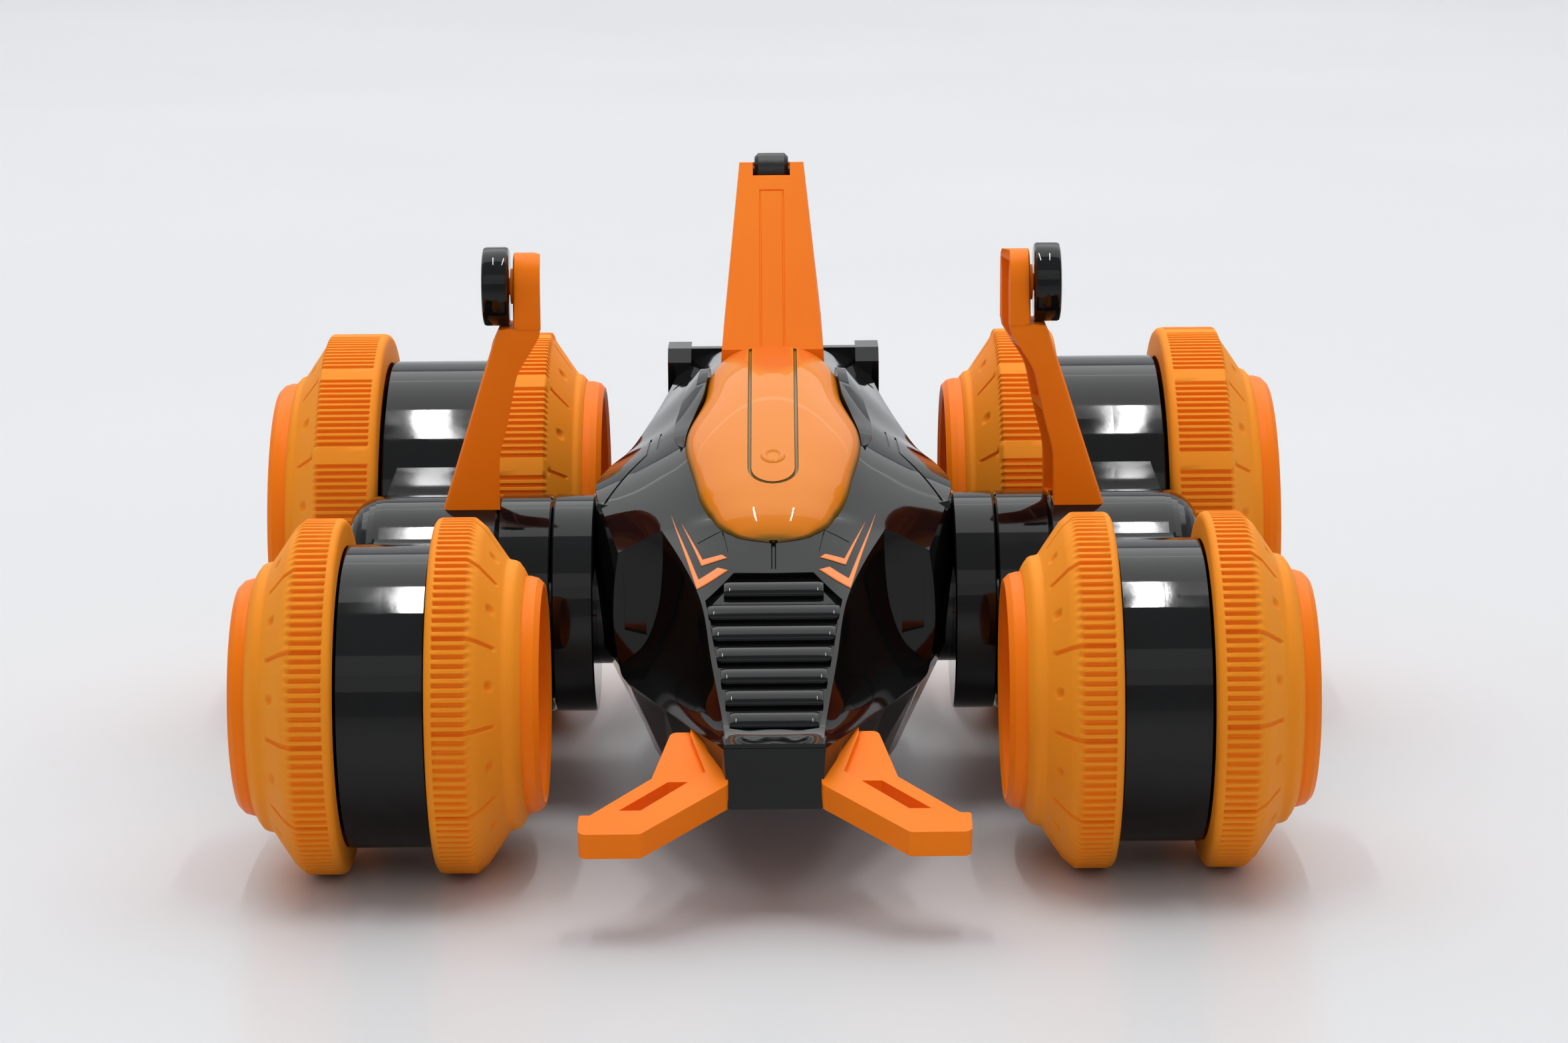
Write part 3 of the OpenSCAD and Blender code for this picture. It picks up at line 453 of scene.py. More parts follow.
def front_columns():
    """[angle, groove depth, slot depth] of every column of a front tyre, and its dimples' angles."""
    pitch, ribs, block = 3.0, 120, 10
    columns = []
    for rib in range(ribs):
        wide = rib % block == 0
        for share, depth in RIB:
            columns.append(((rib + share) * pitch, depth * (1.45 if wide else 1), depth if wide else 0))
    dimples = [(rib + 0.7) * pitch + 5 * pitch for rib in range(0, ribs, block)]
    return columns, dimples


def rear_columns():
    """The same for a rear tyre, whose ribs come in groups with a flat land between them."""
    groups, ribs, pitch = 12, 12, 2.1
    land = 360 / groups - ribs * pitch
    columns = []
    for group in range(groups):
        start = group * 360 / groups
        for rib in range(ribs):
            columns += [(start + (rib + share) * pitch, depth, 0) for share, depth in RIB]
        edge = start + ribs * pitch
        for share, depth in ((0.05, 0), (0.38, 0), (0.45, 1), (0.58, 1), (0.65, 0), (0.95, 0)):
            columns.append((edge + share * land, 0, depth))
    dimples = [(g + 0.5) * 360 / groups - land / 2 for g in range(groups)]
    return columns, dimples


def slope(a, b, count):
    return [tuple(np.array(a) + (np.array(b) - np.array(a)) * k / count) for k in range(count + 1)]


def front_profile(r, hub):
    """A front tyre's outline in [u, radius], with the share of the ribs and slots at each point.

    u runs outwards from the drum side. The last pair is the place and size of the dimples.
    """
    tread = [(1.35, r), (1.65, r), (4, r), (6.7, r), (7.1, r - 0.06)]
    ribs = [0, 1, 1, 1, 1]
    shoulder = slope((7.5, r - 0.35), (9.1, r - 1.75), 3) + slope((9.1, r - 1.75), (13, r - 7.45), 14)[1:]
    slots = [1 if 7.4 < u < 11.9 else 0 for u, _ in shoulder]
    bead = [(13.25, r - 7.7), (13.7, r - 7.82), (14.4, r - 7.95), (15.0, r - 8.25), (15.4, r - 8.8),
            (15.7, hub + 1.6), (16.15, hub + 0.75), (16.4, hub + 0.2)]
    inside = [(16.4, hub - 1.4), (12, hub - 1.4), (7.6, r - 5)]
    edge = [(0, r - 5), (0, r - 1.3), (0.12, r - 0.75), (0.5, r - 0.25), (1.0, r - 0.04)]
    rows = edge + tread + shoulder + bead + inside
    tread_on = [0] * len(edge) + ribs + [0.5] + [0] * (len(rows) - len(edge) - len(tread) - 1)
    slot_on = [0] * (len(edge) + len(tread)) + slots + [0] * (len(bead) + len(inside))
    return rows, tread_on, slot_on, (11.2, 1.0)


def rear_profile(r, hub):
    """The same for a rear tyre, which has a step beside its tread."""
    edge = [(0, r - 6), (0, r - 1.5), (0.15, r - 0.8), (0.6, r - 0.25), (1.2, r - 0.04)]
    tread = [(1.55, r), (1.85, r), (7, r), (11.7, r), (12.1, r - 0.05)]
    ribs = [0, 1, 1, 1, 1]
    step = [(12.35, r - 0.4), (12.6, r - 1.2), (12.8, r - 1.6)]
    shoulder = slope((13.0, r - 1.95), (17.3, r - 8.3), 15)
    slots = [1 if 13.1 < u < 16.6 else 0 for u, _ in shoulder]
    bead = [(17.6, r - 8.65), (18.0, r - 8.8), (18.5, r - 8.95), (18.85, r - 9.3), (19.0, hub + 0.75),
            (19.3, hub + 0.5), (19.4, hub + 0.15)]
    inside = [(19.4, hub - 1.4), (16.4, hub - 1.4), (12, r - 6)]
    rows = edge + tread + step + shoulder + bead + inside
    tread_on = [0] * len(edge) + ribs + [0.8, 0.3, 0] + [0] * (len(rows) - len(edge) - len(tread) - 3)
    slot_on = [0] * (len(edge) + len(tread) + len(step)) + slots + [0] * (len(bead) + len(inside))
    return rows, tread_on, slot_on, (15.2, 1.1)


def tyre_mesh(name, profile, columns):
    """A tyre turned about +X at the origin, with its ribs, slots and dimples cut in."""
    rows, tread_on, slot_on, (dimple_u, dimple_r) = profile
    steps, dimples = columns
    rows = np.array(rows)
    tangent = np.roll(rows, -1, axis=0) - np.roll(rows, 1, axis=0)
    normal = np.stack([-tangent[:, 1], tangent[:, 0]], axis=1)
    normal /= np.linalg.norm(normal, axis=1)[:, None]
    points, shade = [], []
    for angle, rib, slot in steps:
        gap = min(abs((angle - d + 180) % 360 - 180) for d in dimples)
        a = math.radians(angle)
        for (u, r), n, t, s in zip(rows, normal, tread_on, slot_on):
            cut = max(GROOVE_DEPTH * rib * t, SLOT_DEPTH * slot * s)
            off = math.hypot(math.radians(gap) * r, (u - dimple_u) * 1.6)
            if off < dimple_r:
                cut = max(cut, DIMPLE_DEPTH * math.sqrt(1 - (off / dimple_r) ** 2))
            v, q = (u, r) - np.array(n) * cut
            points.append((v, q * math.sin(a), q * math.cos(a)))
            # how deep each point is cut, which the rubber reads as painted shade in the grooves
            shade.append(min(1.0, cut / GROOVE_DEPTH))
    faces = grid_faces(len(steps), len(rows), close_rows=True, close_columns=True)
    mesh = new_mesh(name, points, faces, rubber)
    add_values(mesh, "groove_shade", shade)
    with editing(mesh) as work:
        bmesh.ops.recalc_face_normals(work, faces=work.faces)
    mesh.shade_smooth()
    mesh.set_sharp_from_angle(angle=math.radians(48))
    return mesh


def add_values(mesh, name, values):
    """A number for every point, which materials read by name."""
    attribute = mesh.attributes.new(name, "FLOAT", "POINT")
    attribute.data.foreach_set("value", np.asarray(values, np.float32))


def make_tyres():
    meshes = {}
    shapes = {"front": (front_profile, front_columns), "rear": (rear_profile, rear_columns)}
    for end, (profile, columns) in shapes.items():
        lo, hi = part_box(f"left_{end}_outer_tyre")
        radius = (hi.z - lo.z) / 2 / MM
        meshes[end] = tyre_mesh(f"{end}_tyre", profile(radius, HUB_RADIUS[end]), columns())
    for side, s in SIDES.items():
        for end in ("front", "rear"):
            for place, direction in (("inner", -1), ("outer", 1)):
                node = f"{side}_{end}_{place}_tyre"
                lo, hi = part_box(node)
                outwards = s * direction
                start = lo.x if outwards > 0 else hi.x
                obj = new_object(f"{side}_{end}_{place}_ribbed_tyre", meshes[end])
                turn = Matrix.Rotation(0 if outwards > 0 else math.pi, 4, "Z")
                obj.matrix_world = Matrix.Translation((start, (lo.y + hi.y) / 2, (lo.z + hi.z) / 2)) @ turn
                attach(obj, f"{side}_{end}_wheels")
                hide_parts(node)


# ---------- body ----------

HOOD_SLOPE = 0.5
HOOD_ALONG = np.array((0, 1, HOOD_SLOPE)) / math.hypot(1, HOOD_SLOPE)
HOOD_UP = np.array((0, -HOOD_SLOPE, 1)) / math.hypot(1, HOOD_SLOPE)
# Where the hood's scoops end at the upright cheeks of the deck
CHEEK_Y = -26.0
SHELL_WALL, CANOPY_WALL = 1.3, 1.4


def hood_z(y):
    return 31.8 + HOOD_SLOPE * (y + 82)


# Hood sections: y, then [x, z] of crown, mid, ridge, three points down the scoop, and the lip
HOOD = [
    (-88, (0, 31.4), (5, 31.4), (8.6, 31.3), (8.8, 31.15), (8.9, 31.0), (8.95, 30.8), (9, 30.6)),
    (-82, (0, 31.8), (6, 31.8), (8.9, 32.3), (9.5, 31.9), (10.2, 31.4), (10.9, 31.0), (11.6, 30.6)),
    (-66, (0, 39.8), (8, 39.8), (11.2, 40.3), (12.3, 37), (13.8, 34), (15.7, 31.9), (17.8, 30.6)),
    (-49, (0, 48.3), (9, 48.3), (13.6, 48.7), (14.9, 43), (17, 37.5), (20.3, 33), (24.2, 30.6)),
    (-37, (0, 54.3), (10, 54.3), (17.3, 53.3), (18.1, 47), (20, 39.8), (23.6, 33.8), (28.3, 30.6)),
    (CHEEK_Y - 0.6, (0, 59.8), (12, 58.9), (20.9, 56.4), (21.1, 49), (22.2, 41), (25, 34.4), (29.6, 30.6)),
]
# Deck sections: y, then crown, mid, deck edge, shoulder, two points down the side, and the lip
DECK = [
    (CHEEK_Y, (0, 59.9), (12, 59), (21, 56.6), (29.4, 52.4), (30.3, 45.5), (30.5, 38), (29.6, 30.6)),
    (-15, (0, 65.6), (13, 64.4), (22, 61.6), (32.4, 57.2), (33.3, 48), (33, 39), (32, 30.6)),
    (-5, (0, 70.2), (12.5, 69), (20.5, 66), (34.4, 60.2), (35.2, 50), (34.9, 40), (34, 30.6)),
    (10, (0, 75.2), (12, 74), (18.5, 69.6), (32.4, 61.8), (34.2, 51), (34.3, 40), (33.6, 30.6)),
    (22, (0, 78.4), (11.5, 77), (17, 71.4), (29, 62.7), (31, 52), (31.8, 41), (31.4, 30.6)),
    (40, (0, 77.4), (10, 76.6), (15.6, 73.4), (25.2, 65.4), (27, 54), (28, 42), (28, 31.6)),
    (60, (0, 75.4), (10, 75.1), (15.8, 72.4), (22.2, 67.6), (23.6, 55.4), (24.6, 44), (25, 32.6)),
    (86, (0, 73.2), (10.6, 73.0), (13.6, 72.4), (20.6, 67.8), (21.6, 55), (22, 43), (22, 33.6)),
]


def section_rows(sections, creases, step, per_segment):
    """Rows of points across the body, every step along it."""
    ys = [s[0] for s in sections]
    controls = np.array([[(x, s[0], z) for x, z in s[1:]] for s in sections], float)
    at = np.linspace(ys[0], ys[-1], max(2, round((ys[-1] - ys[0]) / step)) + 1)
    rows = hermite(ys, controls, at)
    rows[:, :, 1] = at[:, None]
    return [both_halves(across(row, creases, per_segment)) for row in rows]


def body_surface():
    """Points and faces of the whole upper body, closed underneath and at both ends."""
    rows = section_rows(HOOD, (2,), 2.0, 7) + section_rows(DECK, (3,), 2.0, 7)
    columns = len(rows[0])
    points = np.concatenate(rows)
    faces = grid_faces(len(rows), columns, close_columns=True)
    tail = (len(rows) - 1) * columns
    faces += [tuple(range(columns - 1, -1, -1)), tuple(range(tail, tail + columns))]
    return points, faces


def make_body():
    """The upper shell, with its cuts; returns its surface for the pieces that lie on it."""
    points, faces = body_surface()
    tree = BVHTree.FromPolygons([tuple(p) for p in points], faces)
    upper = piece("upper_body_shell", points, faces, black_gloss, "chassis", ["upper_shell"])
    weld(upper)
    grille = [(x, y, hood_z(y)) for x, y in
              ((-8.0, -81), (8.0, -81), (12.6, -49.4), (7.4, -42), (-7.4, -42), (-12.6, -49.4))]
    cutters = [loose("cut_grille", *prism(grille, HOOD_UP, -1.15, 3), black_gloss)]
    for s in SIDES.values():
        cheek = [(s * x, CHEEK_Y, z) for x, z in ((24.2, 36.5), (28.4, 37.5), (28.5, 48.6), (24.6, 50.6))]
        cutters.append(loose("cut_cheek", *prism(cheek, (0, 1, 0), -3, 0.75), black_gloss))
        shoulder = [(s * 33.2, -12.5), (s * 24.6, 3), (s * 24.2, 16)]
        cutters.append(groove_cutter("cut_line", tree, shoulder, 0.32))
        cutters.append(groove_cutter("cut_line", tree, [(s * 22.6, 3.5), (s * 22.2, 15.5)], 0.26))
        pit = drop(tree, s * 20.2, 60)
        hole = tube([pit + (0, 0, 2), pit - (s * 0.8, 0, 1.6)], 1.4, 24)
        cutters.append(loose("cut_pit", *hole, black_gloss))
        hook = [(s * 14.2, -33), (s * 9.6, -30.5), (s * 8.6, -36.5)]
        cutters.append(groove_cutter("cut_line", tree, hook, 0.16))
    cutters.append(groove_cutter("cut_slot", tree, [(0, -33), (0, -41)], 0.45))
    carve(upper, cutters, 30)
    open_bottom(upper)
    hollow(upper, SHELL_WALL)
    round_edges(upper, 0.3, 28)
    return tree


def open_bottom(obj):
    """Removes the flat underside of the upper shell, so that it is a cover and not a block."""
    with editing(obj.data) as work:
        under = [f for f in work.faces if f.normal.z < -0.8 and f.calc_center_median().z < 35 * MM]
        bmesh.ops.delete(work, geom=under, context="FACES")


def hollow(obj, thickness):
    wall = obj.modifiers.new("wall", "SOLIDIFY")
    wall.thickness = thickness * MM
    wall.offset = -1
    wall.use_even_offset = False


def make_grille():
    """Rounded louvres that fill the recess in the hood."""
    bars = 6
    spots = [(-78.4 + 26.8 * k / (bars - 1), 7.9 + 4.2 * k / (bars - 1)) for k in range(bars)]
    spots.append((-45.6, 9.2))
    # along the hood and out of it
    section = [(-2.1, -1.1), (-2.1, -0.35), (-1.75, 0.15), (-1.1, 0.42), (0, 0.52), (1.1, 0.42),
               (1.75, 0.15), (2.1, -0.35), (2.1, -1.1)]
    n = len(section)
    points, faces = [], []
    for y, half in spots:
        base = len(points)
        ends = [(-half, 0.35), (-half + 0.5, 0.8), (-half + 1.2, 1.0),
                (half - 1.2, 1.0), (half - 0.5, 0.8), (half, 0.35)]
        for x, size in ends:
            centre = np.array((x, y, hood_z(y) - 0.25))
            for a, h in section:
                out = h if h < 0 else h * size
                points.append(centre + HOOD_ALONG * a * (0.9 + 0.1 * size) + HOOD_UP * out)
        faces += offset_faces(base, grid_faces(len(ends), n, close_columns=True))
        faces += [tuple(base + i for i in range(n)), tuple(base + len(ends) * n - 1 - i for i in range(n))]
    obj = piece("grille_louvres", points, faces, black_gloss, "chassis")
    round_edges(obj, 0.15, 40)


# Chevrons beside the grille: tip, bottom, end of the short arm, the same inside, and the inner corner
CHEVRONS = [
    [(19.4, -22.5), (14.2, -46.6), (8.4, -41.4), (10.4, -40.6), (13.9, -43.6)],
    [(17.4, -25.6), (13.4, -39.8), (8.6, -38.2), (9.6, -37.2), (13.2, -38.0)],
]


def make_decals(tree):
    """Two nested chevrons a side, as thin printed film on the hood."""
    rows, columns, lift = 16, 4, 0.07
    points, faces = [], []
    for s in SIDES.values():
        for tip, bottom, end, end_in, corner in CHEVRONS:
            for a, b, c, d in ((tip, bottom, corner, tip), (bottom, end, end_in, corner)):
                faces += offset_faces(len(points), grid_faces(rows + 1, columns + 1))
                for i in range(rows + 1):
                    u = i / rows
                    near = np.array(a) * (1 - u) + np.array(b) * u
                    far = np.array(d) * (1 - u) + np.array(c) * u
                    for j in range(columns + 1):
                        v = j / columns
                        x, y = near * (1 - v) + far * v
                        points.append(drop(tree, s * x, y, lift))
    obj = piece("hood_stickers", points, faces, orange_ink, "chassis", ["decals"], 60)
    weld(obj)
    film = obj.modifiers.new("film", "SOLIDIFY")
    film.thickness = 0.05 * MM
    film.offset = 0


# Canopy sections: y, half width, height of the crown
CANOPY = [
    (-34, 0.8, 56.3), (-33.2, 5.0, 57.6), (-31.5, 8.2, 59.6), (-26, 12, 63.4), (-14, 15.4, 69.2),
    (-3, 17, 73.6), (0.5, 16.8, 74.9), (12, 13.6, 78.6), (22, 12.9, 80.9), (32.8, 11.2, 82.2),
]


def canopy_surface(tree):
    """Rows of points over the canopy, whose rim follows the deck, and how near each is to the rim."""
    ys = [s[0] for s in CANOPY]
    at = np.concatenate([-34 + 3.0 * np.linspace(0, 1, 9)[:-1] ** 1.6, np.linspace(-31, 32.8, 44)])
    rows, rims = [], []
    for (half, crown), y in zip(hermite(ys, [s[1:] for s in CANOPY], at), at):
        rim = drop(tree, half, y)[2] + 0.25
        crown = max(crown, rim + 0.3)
        steps = np.linspace(0, math.pi / 2, 19)
        x = half * np.sin(steps) ** 0.9
        z = rim + (crown - rim) * np.cos(steps) ** 1.15
        arc = np.stack([x, np.full_like(x, y), z], axis=1)
        skirt = np.array([[half - 0.2, y, rim - 1.2], [half - 0.5, y, rim - 2.6]])
        rows.append(both_halves(np.concatenate([arc, skirt])))
        side = np.concatenate([(x / max(half, 0.1)) ** 4, [1, 1]])
        front = max(0.0, 1 - (y + 34) / 7) ** 1.5
        side = np.maximum(side, front)
        rims.append(np.concatenate([side[:0:-1], side]))
    return rows, rims


def make_canopy(deck):
    rows, rims = canopy_surface(deck)
    points = np.concatenate(rows)
    faces = grid_faces(len(rows), len(rows[0]))
    tree = BVHTree.FromPolygons([tuple(p) for p in points], faces)
    obj = piece("canopy_dome", points, faces, canopy_orange, "chassis", ["canopy"], 50)
    add_values(obj.data, "rim", np.concatenate(rims))
    # the foot of the fin shows through the dome as a darker wedge
    add_values(obj.data, "under", np.clip((points[:, 1] - 15 - 0.16 * points[:, 0] ** 2) / 3.5, 0, 1))
    weld(obj)
    hollow(obj, CANOPY_WALL)
    # border groove with a rounded front end
    half, front_y, back_y = 4.5, -21.5, 32
    end = [(half * math.cos(a), front_y + 3 - half * math.sin(a)) for a in np.linspace(0, math.pi, 13)]
    loop = [(half, back_y), *end, (-half, back_y)]
    path = [drop(tree, x, y) for x, y in dense(loop, 1.5)]
    carve(obj, [loose("cut_border", *tube(path, 0.4, 6), groove_olive)], 50)
    make_canopy_screw(tree)


def make_canopy_screw(tree):
    """The raised ring round the canopy's screw, and the screw's slot."""
    centre = drop(tree, 0, -15)
    slope_z = (drop(tree, 0, -14)[2] - drop(tree, 0, -16)[2]) / 2
    # radius and height over the canopy
    ring = [(0.0, -0.35), (0.5, -0.35), (0.9, -0.3), (1.25, 0.08), (1.6, 0.32), (2.0, 0.3), (2.35, 0.05),
            (2.5, -0.4)]
    points, turns = [], 32
    for radius, height in ring:
        for k in range(turns):
            a = 2 * math.pi * k / turns
            y = radius * math.sin(a)
            points.append(centre + (radius * math.cos(a), y, height + slope_z * y))
    faces = grid_faces(len(ring), turns, close_columns=True)
    piece("canopy_screw_boss", points, faces, canopy_orange, "chassis")
    cross = [(centre[0] + x, centre[1] + y, centre[2] - 0.12 + slope_z * y) for x, y in
             ((-0.8, -0.14), (0.8, -0.14), (0.8, 0.14), (-0.8, 0.14))]
    piece("canopy_screw_slot", *prism(cross, (0, 0, 1), -0.3, 0.05), groove_olive, "chassis")


# Frames beside the canopy: y, [x, height over the deck] of inner edge and ridge, x of the foot
WINDOW = [
    (-2.5, (17.2, 0.1), (17.5, 0.1), 17.8),
    (0, (16.9, 0.9), (17.7, 0.9), 18.6),
    (6, (15.4, 1.7), (17.1, 2.0), 19.6),
    (12, (13.7, 2.4), (15.6, 3.1), 19.6),
    (18, (13.1, 2.7), (15.1, 3.9), 19.2),
    (24, (12.8, 2.6), (14.7, 4.2), 18.4),
    (29, (12.5, 2.0), (14.4, 3.6), 17.6),
    (32, (12.3, 0.2), (13.9, 0.6), 16.6),
]


def make_window_frames(tree):
    """Black ridges that hug the rear half of the canopy and slope down to the deck."""
    ys = [row[0] for row in WINDOW]
    at = np.linspace(ys[0], ys[-1], 40)
    controls = []
    for y, *tops, foot in WINDOW:
        edge, ridge = [drop(tree, x, y) + (0, 0, rise) for x, rise in tops]
        controls.append([edge, ridge, drop(tree, foot, y) - (0, 0, 0.3)])
    points, faces = [], []
    for s in SIDES.values():
        base = len(points)
        for inner, ridge, foot in hermite(ys, controls, at):
            swell = (ridge + foot) / 2 + (0.9, 0, 0.7)
            for p in (inner - (0, 0, 6), inner, ridge, swell, foot, foot - (0.5, 0, 5)):
                points.append(p * (s, 1, 1))
        faces += offset_faces(base, grid_faces(len(at), 6, close_columns=True))
        last = base + (len(at) - 1) * 6
        faces += [tuple(range(base, base + 6)), tuple(range(last, last + 6))]
    obj = piece("canopy_frames", points, faces, black_gloss, "chassis", ["window_trim"], 60)
    weld(obj)
    finish_shading(obj, 60)
    round_edges(obj, 0.28, 24, 3)


# ---------- fin and masts ----------

# [y, z] of the two ends of the fin's raked front, and the side outline they belong to
FIN_FOOT, FIN_HEAD = (33.0, 81.4), (62.0, 116.0)
FIN_SIDE = [(45, 66), (33, 74), FIN_FOOT, FIN_HEAD, (76, 114.4), (80.3, 81), (82, 68), (80, 62)]
ABOVE = 125


def upright(half, low, high):
    """An outline across the car, from -half to half and from low to high."""
    return [(-half, 0, low), (half, 0, low), (half, 0, high), (-half, 0, high)]


def make_fin():
    """The tall fin, with a long panel line in its raked front and a hollow in its back."""
    points = []
    for s in SIDES.values():
        points += [(s * np.interp(z, (60, 81, 116), (11.6, 10.3, 6.6)), y, z) for y, z in FIN_SIDE]
    n = len(FIN_SIDE)
    faces = [tuple(range(n)), tuple(range(2 * n - 1, n - 1, -1))]
    faces += [(i, i + n, (i + 1) % n + n, (i + 1) % n) for i in range(n)]
    obj = piece("tail_fin", points, faces, orange_abs, "chassis", ["fin"])
    weld(obj)
    # the roller's pocket, with a low sill in front of it
    lo, hi = [np.array(c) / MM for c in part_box("fin_roller")]
    half, sill, start = 3.85, FIN_HEAD[1] - 2.7, lo[1] - 0.7
    pocket = prism(upright(half, lo[2] - 0.4, ABOVE), (0, 1, 0), start, hi[1] + 0.6)
    slot = prism(upright(half, sill, ABOVE), (0, 1, 0), start - 8, start + 1)
    # the panel line, a loop that is open at the foot
    foot, head = np.array((0, *FIN_FOOT)), np.array((0, *FIN_HEAD))
    rake = (head - foot) / np.linalg.norm(head - foot)
    low, high, aside = foot + rake * 0.5, head - rake * 6.9, np.array((2.35, 0, 0))
    panel = tube(dense([low + aside, high + aside, high - aside, low - aside], 2.0), 0.24, 6)
    back = prism([(-7.6, 84, 82), (7.6, 84, 82), (4.9, 84, 108), (-4.9, 84, 108)], (0, 1, 0), -11.5, 2)
    shapes = {"cut_pocket": pocket, "cut_slot": slot, "cut_panel": panel, "cut_back": back}
    carve(obj, [loose(name, *shape, orange_abs) for name, shape in shapes.items()], 35)
    round_edges(obj, 0.5, 35, 3)


# Mast from its foot up: height, outer x, inner x, half depth
MAST = [
    (57, 64.0, 53.6, 7.0), (62, 62.4, 53.6, 6.85), (68, 60.5, 53.3, 6.65), (73, 58.9, 52.0, 6.45),
    (78.5, 57.2, 50.8, 6.25), (83.5, 55.6, 49.6, 6.05), (87.5, 54.3, 47.2, 5.9), (90.6, 53.3, 45.4, 5.8),
]
# The same for the shelf under the roller and the head above it
MAST_HEAD = [
    (91.9, 52.7, 45.2, 5.6), (92.1, 51.4, 45.2, 5.6), (92.1, 49.8, 45.2, 5.75), (92.0, 49.8, 45.1, 5.75),
    (100.4, 49.7, 45.1, 5.4), (103.2, 49.7, 45.1, 4.7), (105.0, 49.7, 45.1, 3.2), (106, 49.6, 45.2, 1.2),
]
# Hollows between the mast's ribs: lowest, highest, half depth
MAST_HOLLOWS = ((58, 75.4, 5.2), (76.8, 87.6, 4.7), (88.8, 104.2, 3.5))


def make_masts():
    """C-shaped masts, closed towards the wheels and open towards the body, with ribs across.

    Both are one moulding turned half round, so its wider wall is in front on one side only.
    """
    heights = [row[0] for row in MAST]
    at = np.linspace(heights[0], heights[-1], 36)
    shaft = zip(at, hermite(heights, [row[1:] for row in MAST], at))
    rows = [(z, *values) for z, values in shaft] + MAST_HEAD
    table = np.array(rows)
    for side, s in SIDES.items():
        points = []
        for z, out, inside, deep in rows:
            soft, skew = min(1.1, deep * 0.4), s * 0.7
            half = [(out - soft, -deep), (out - 0.3 * soft, -deep + 0.3 * soft), (out, -deep + soft)]
            other = [(x, -y) for x, y in half[::-1]]
            ring = [(inside + skew, -deep)] + half + other + [(inside - skew, deep)]
            points += [(s * x, y, z) for x, y in ring]
        faces = grid_faces(len(rows), 8, close_columns=True)
        last = (len(rows) - 1) * 8
        faces += [tuple(range(8)), tuple(range(last, last + 8))]
        obj = piece(f"{side}_channel_mast", points, faces, orange_abs, "arms", [f"{side}_mast"], 40)
        weld(obj)
        cutters = []
        for low, high, deep in MAST_HOLLOWS:
            levels = np.linspace(low, high, 8)
            outer = np.interp(levels, table[:, 0], table[:, 1]) - 1.7
            inner = np.interp(levels, table[:, 0], table[:, 2])
            outline = [(s * min(x, i + 6.5), 0, z) for x, i, z in zip(outer, inner, levels)]
            outline += [(s * (i - 3), 0, z) for i, z in zip(inner[::-1], levels[::-1])]
            cutters.append(loose("cut_channel", *prism(outline, (0, 1, 0), -deep, deep), orange_abs))
        carve(obj, cutters, 40, "MANIFOLD")
        round_edges(obj, 0.35, 35, 3)
        make_mast_roller(side, s)


def lathe(name, steps, centre, material, body, replaces=(), turns=48):
    """A shape turned about the X axis, from (x, radius) steps."""
    y, z = centre
    points = [(x, y + r * math.cos(2 * math.pi * k / turns), z + r * math.sin(2 * math.pi * k / turns))
              for x, r in steps for k in range(turns)]
    obj = piece(name, points, grid_faces(len(steps), turns, close_columns=True), material, body, replaces)
    weld(obj)
    finish_shading(obj, 40)


def make_mast_roller(side, s):
    """The roller of a mast, and the pin that carries it."""
    lo, hi = [np.array(c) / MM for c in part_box(f"{side}_mast_roller")]
    centre = (lo[1] + hi[1]) / 2, (lo[2] + hi[2]) / 2
    near, far = (lo[0], hi[0]) if s > 0 else (hi[0], lo[0])
    root = s * 48.5
    pin = [(root, 0.01), (root, 3.4), (near - s * 0.3, 3.4), (near - s * 0.3, 1.6), (far - s * 0.8, 1.6),
           (far - s * 0.8, 2.5), (far - s * 0.3, 2.5), (far, 2.1), (far, 0.01)]
    lathe(f"{side}_roller_pin", pin, centre, orange_abs, "arms")
    radius = (hi[2] - lo[2]) / 2
    wheel = [(0, 1.75), (0, radius - 0.6), (0.18, radius - 0.18), (0.6, radius), (4.4, radius),
             (4.82, radius - 0.18), (5, radius - 0.6), (5, 3.0), (4.1, 2.9), (4.1, 1.75), (0, 1.75)]
    node = f"{side}_mast_roller"
    lathe(f"{side}_mast_wheel", [(near + s * x, r) for x, r in wheel], centre, black_gloss, node, [node], 96)


# ---------- CAD nodes that keep their shape ----------

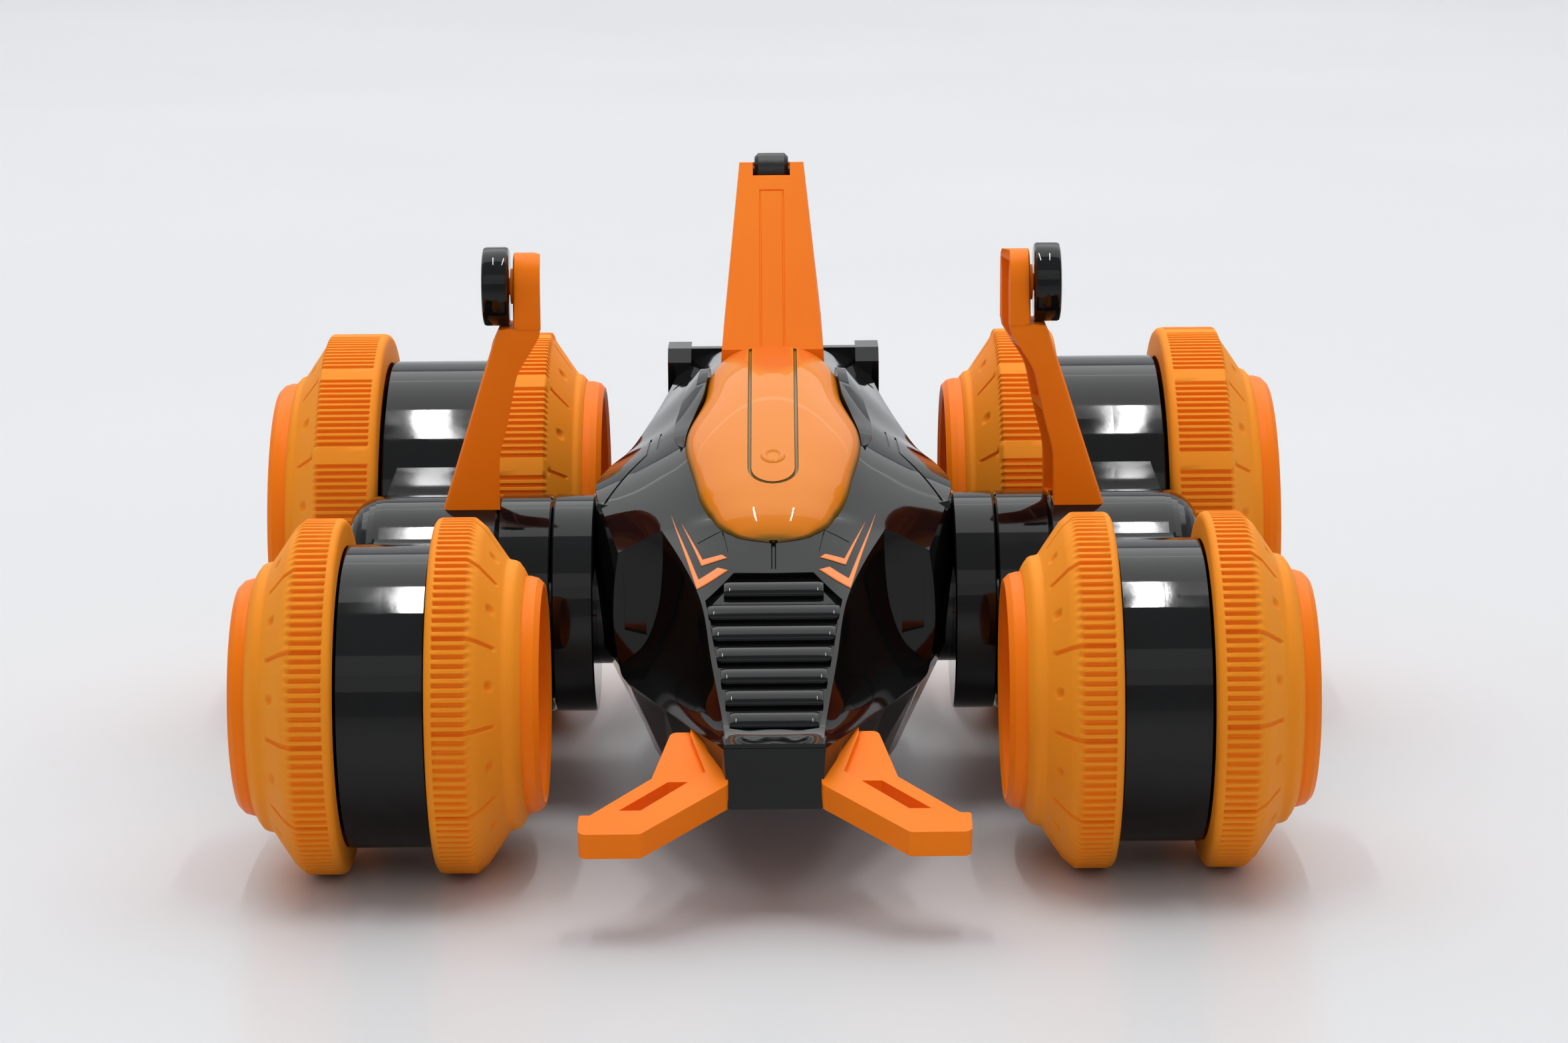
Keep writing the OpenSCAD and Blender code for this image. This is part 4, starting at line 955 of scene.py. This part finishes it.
# Nodes of each material with their edge radius; SIDE and WHEEL stand for every side and every wheel pair
LOOKS = [
    (black_gloss, {"upper_shell": 0.3, "lower_shell": 0.35, "rear_wing": 0.25, "arm_bearings": 0.25,
                   "SIDE_arm_inner_casing": 0.3, "SIDE_arm_outer_casing": 0.3, "SIDE_mast_roller": 0.5}),
    (black_satin, {"window_trim": 0.25, "fin_roller": 0.6, "battery_door": 0.2, "power_switch": 0.1}),
    (orange_abs, {"fin": 0.4, "SIDE_front_tusk": 0.7, "SIDE_mast": 0.4,
                  "WHEEL_inner_hub": 0.3, "WHEEL_outer_hub": 0.3}),
    (canopy_orange, {"canopy": 0}),
    (orange_ink, {"decals": 0}),
    (rubber, {"WHEEL_inner_tyre": 0, "WHEEL_outer_tyre": 0}),
    (battery_wrap, {"battery_pack": 0.3}),
    (board_green, {"circuit_board": 0}),
    (nylon, {"arm_gear": 0, "SIDE_middle_gear": 0, "SIDE_front_idler": 0, "SIDE_rear_idler": 0,
             "WHEEL_geared_shaft": 0}),
    (steel, {"arm_shaft": 0.2, "arm_motor": 0.3, "shell_screws": 0.15, "SIDE_drive_motor": 0.3,
             "SIDE_casing_screws": 0}),
    (brass, {"arm_motor_pinion": 0, "SIDE_motor_pinion": 0}),
]


def dress(node, material, bevel):
    """Gives a CAD node its material and softens its edges."""
    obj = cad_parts[node]
    obj.data.materials.clear()
    obj.data.materials.append(material)
    if bevel:
        round_edges(obj, bevel, 30)


def dress_cad():
    wheels = [f"{side}_{end}" for side in SIDES for end in ("front", "rear")]
    for material, nodes in LOOKS:
        for name, bevel in nodes.items():
            word, _, rest = name.partition("_")
            for place in {"SIDE": list(SIDES), "WHEEL": wheels}.get(word, [word]):
                dress(f"{place}_{rest}" if rest else place, material, bevel)


bpy.context.scene.view_settings.view_transform = "Standard"
make_camera()
make_light()
make_stage()
dress_cad()
make_tyres()
hood = make_body()
make_grille()
make_decals(hood)
make_canopy(hood)
make_window_frames(hood)
make_fin()
make_masts()
